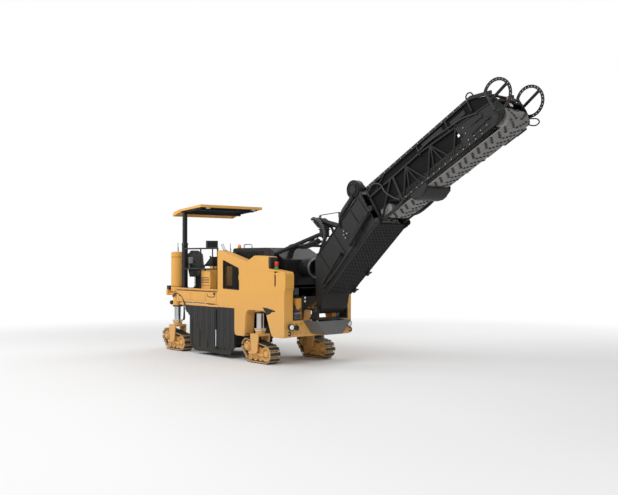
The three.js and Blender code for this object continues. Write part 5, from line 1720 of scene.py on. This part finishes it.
    def drive(self):
        """The belt drive on the head's far side, and the pipes that feed it."""
        motor = Form(UPPER).block((3050, 3280), (350, 470), (-10, 180))
        case = [(0, 2720), (46, 2720), (60, 2740), (60, 3040), (46, 3050), (0, 3050)]
        motor.turned(case, (0, 470, 70), ALONG, 24)
        silencer = [(0, 2300), (34, 2300), (44, 2316), (44, 2640), (30, 2660), (30, 2720), (0, 2720)]
        motor.turned(silencer, (0, 470, 80), ALONG, 20)
        gearbox = [(0, 340), (98, 340), (98, 430), (84, 476), (0, 480)]
        motor.turned(gearbox, (HEAD[0], 0, HEAD[1]), ACROSS, 28)
        motor.bar((930, 480, 140), (2310, 480, 88), 24, 12).bar((60, 460, 190), (940, 480, 140), 34, 12)
        for s, h in ((500, 165), (1150, 132), (2280, 90)):
            motor.bar((s, 340, 30), (s, 480, h), 15, 8)
        for shift in (-120, 120):
            motor.bar((1760 + shift, 345, 10), (1760, 480, 110), 15, 8)
        for s in (1100, 1760, 2200):
            h = 128 - (s - 1100) / 26
            motor.block((s - 26, s + 26), (446, 514), (h - 40, h + 40))
        motor.piece("belt_drive", "black powder coat", "upper_section", bevel=3)
        hoses = Form(UPPER)
        for shift in (0, 36):
            sag = ((-40, 440, 200), (120, 470, 130), (360, 476, 60), (700, 470, 60), (930, 480, 108))
            hoses.hose([(s, y, h - shift) for s, y, h in sag], 20)
        feed = [(1500, -360, 650), (1900, -364, 655), (2300, -362, 610), (2700, -366, 560), (3000, -366, 440)]
        hoses.hose(feed, 13)
        down = [(360, -376, 640), (400, -372, 440), (520, -366, 240), (660, -364, 90)]
        hoses.hose([(20, -372, 700), (200, -380, 745), *down], 17)
        hoses.piece("upper_hoses", "hydraulic hose", "upper_section")

    def lamps(self):
        dome = [(0, 0), (44, 0), (44, 18), (36, 62), (20, 80), (0, 84)]
        beacon = Form(UPPER).turned(dome, (3500, -60, 372), UP, 20)
        beacon.piece("head_beacon", "amber polycarbonate", "upper_section")
        body = Form(UPPER).block((3455, 3495), (-120, -20), (255, 335))
        body.block((2436, 2496), (-376, -352), (300, 364))
        body.block((3440, 3560), (-150, 40), (338, 370))
        body.piece("head_lamps", "black ABS", "upper_section", bevel=4)
        glass = Form(UPPER).block((3494, 3500), (-110, -30), (262, 328))
        glass.block((2442, 2490), (-382, -375), (306, 358))
        glass.piece("head_lenses", "clear polycarbonate", "upper_section", bevel=2)


class PLANER_OT_belts(bpy.types.Operator):
    """Raises the chevron cleats on both belts"""

    bl_idname = "planer.belts"
    bl_label = "Belts"

    def execute(self, context):
        height = context.scene.planer_sizes.cleat_height
        self.cleats(UPPER, (HEAD, TAIL), "upper", height)
        h, radius = FOLD_H + 115, 75
        self.cleats(LOWER, ((FOLD_S - 160, h, radius), (330, h, radius)), "lower", height)
        return {"FINISHED"}

    def cleats(self, axes, rollers, name, height):
        """Each chevron is two rows of short blocks, so that it bends round the rollers with the belt."""
        loop = line_round(tuple((s, h, radius + BELT) for s, h, radius in rollers))
        places, pitch = stations(loop, 176)
        foot, crest = pitch * 0.42, pitch * 0.3
        outline = [(-foot, -1), (foot, -1), (crest, height), (-crest, height)]
        form = Form(axes)
        for k, (place, heading) in enumerate(places):
            row, step = divmod(k, 4)
            shift = 30 * (row % 2)
            for side in (-1, 1):
                near = side * (26 + shift + step * 58)
                form.plate(beside(place, heading, outline), near, near + side * 46)
        # The cleats' dark rubber is partly painted shade for the shadows that the chevrons cast on the belt.
        form.piece("belt_cleats_" + name, "belt cleats", name + "_section")


# ---------------------------------------------------------------- panel and run
GROUPS = (
    PLANER_OT_stage,
    PLANER_OT_finishes,
    PLANER_OT_tracks,
    PLANER_OT_legs,
    PLANER_OT_side_panels,
    PLANER_OT_front,
    PLANER_OT_deck,
    PLANER_OT_seat,
    PLANER_OT_console,
    PLANER_OT_canopy,
    PLANER_OT_drum,
    PLANER_OT_side_plates,
    PLANER_OT_hood,
    PLANER_OT_rear,
    PLANER_OT_gantry,
    PLANER_OT_lower,
    PLANER_OT_upper,
    PLANER_OT_belts,
)


class PLANER_PT_panel(bpy.types.Panel):
    """Lists the planer's settings and its groups of pieces"""

    bl_idname = "PLANER_PT_panel"
    bl_label = "Compact Cold Planer"
    bl_space_type = "VIEW_3D"
    bl_region_type = "UI"
    bl_category = "Planer"

    def draw(self, context):
        for settings in (context.scene.planer_sizes, context.scene.planer_colours):
            box = self.layout.box()
            for name in settings.__annotations__:
                box.prop(settings, name)
        for group in GROUPS:
            self.layout.operator(group.bl_idname)


CLASSES = (PlanerSizes, PlanerColours, *GROUPS, PLANER_PT_panel)


def register():
    for kind in CLASSES:
        bpy.utils.register_class(kind)
    bpy.types.Scene.planer_sizes = bpy.props.PointerProperty(type=PlanerSizes)
    bpy.types.Scene.planer_colours = bpy.props.PointerProperty(type=PlanerColours)


def unregister():
    del bpy.types.Scene.planer_colours
    del bpy.types.Scene.planer_sizes
    for kind in reversed(CLASSES):
        bpy.utils.unregister_class(kind)


def main():
    register()
    for group in GROUPS:
        family, name = group.bl_idname.split(".")
        getattr(getattr(bpy.ops, family), name)()


if __name__ == "__main__":
    main()
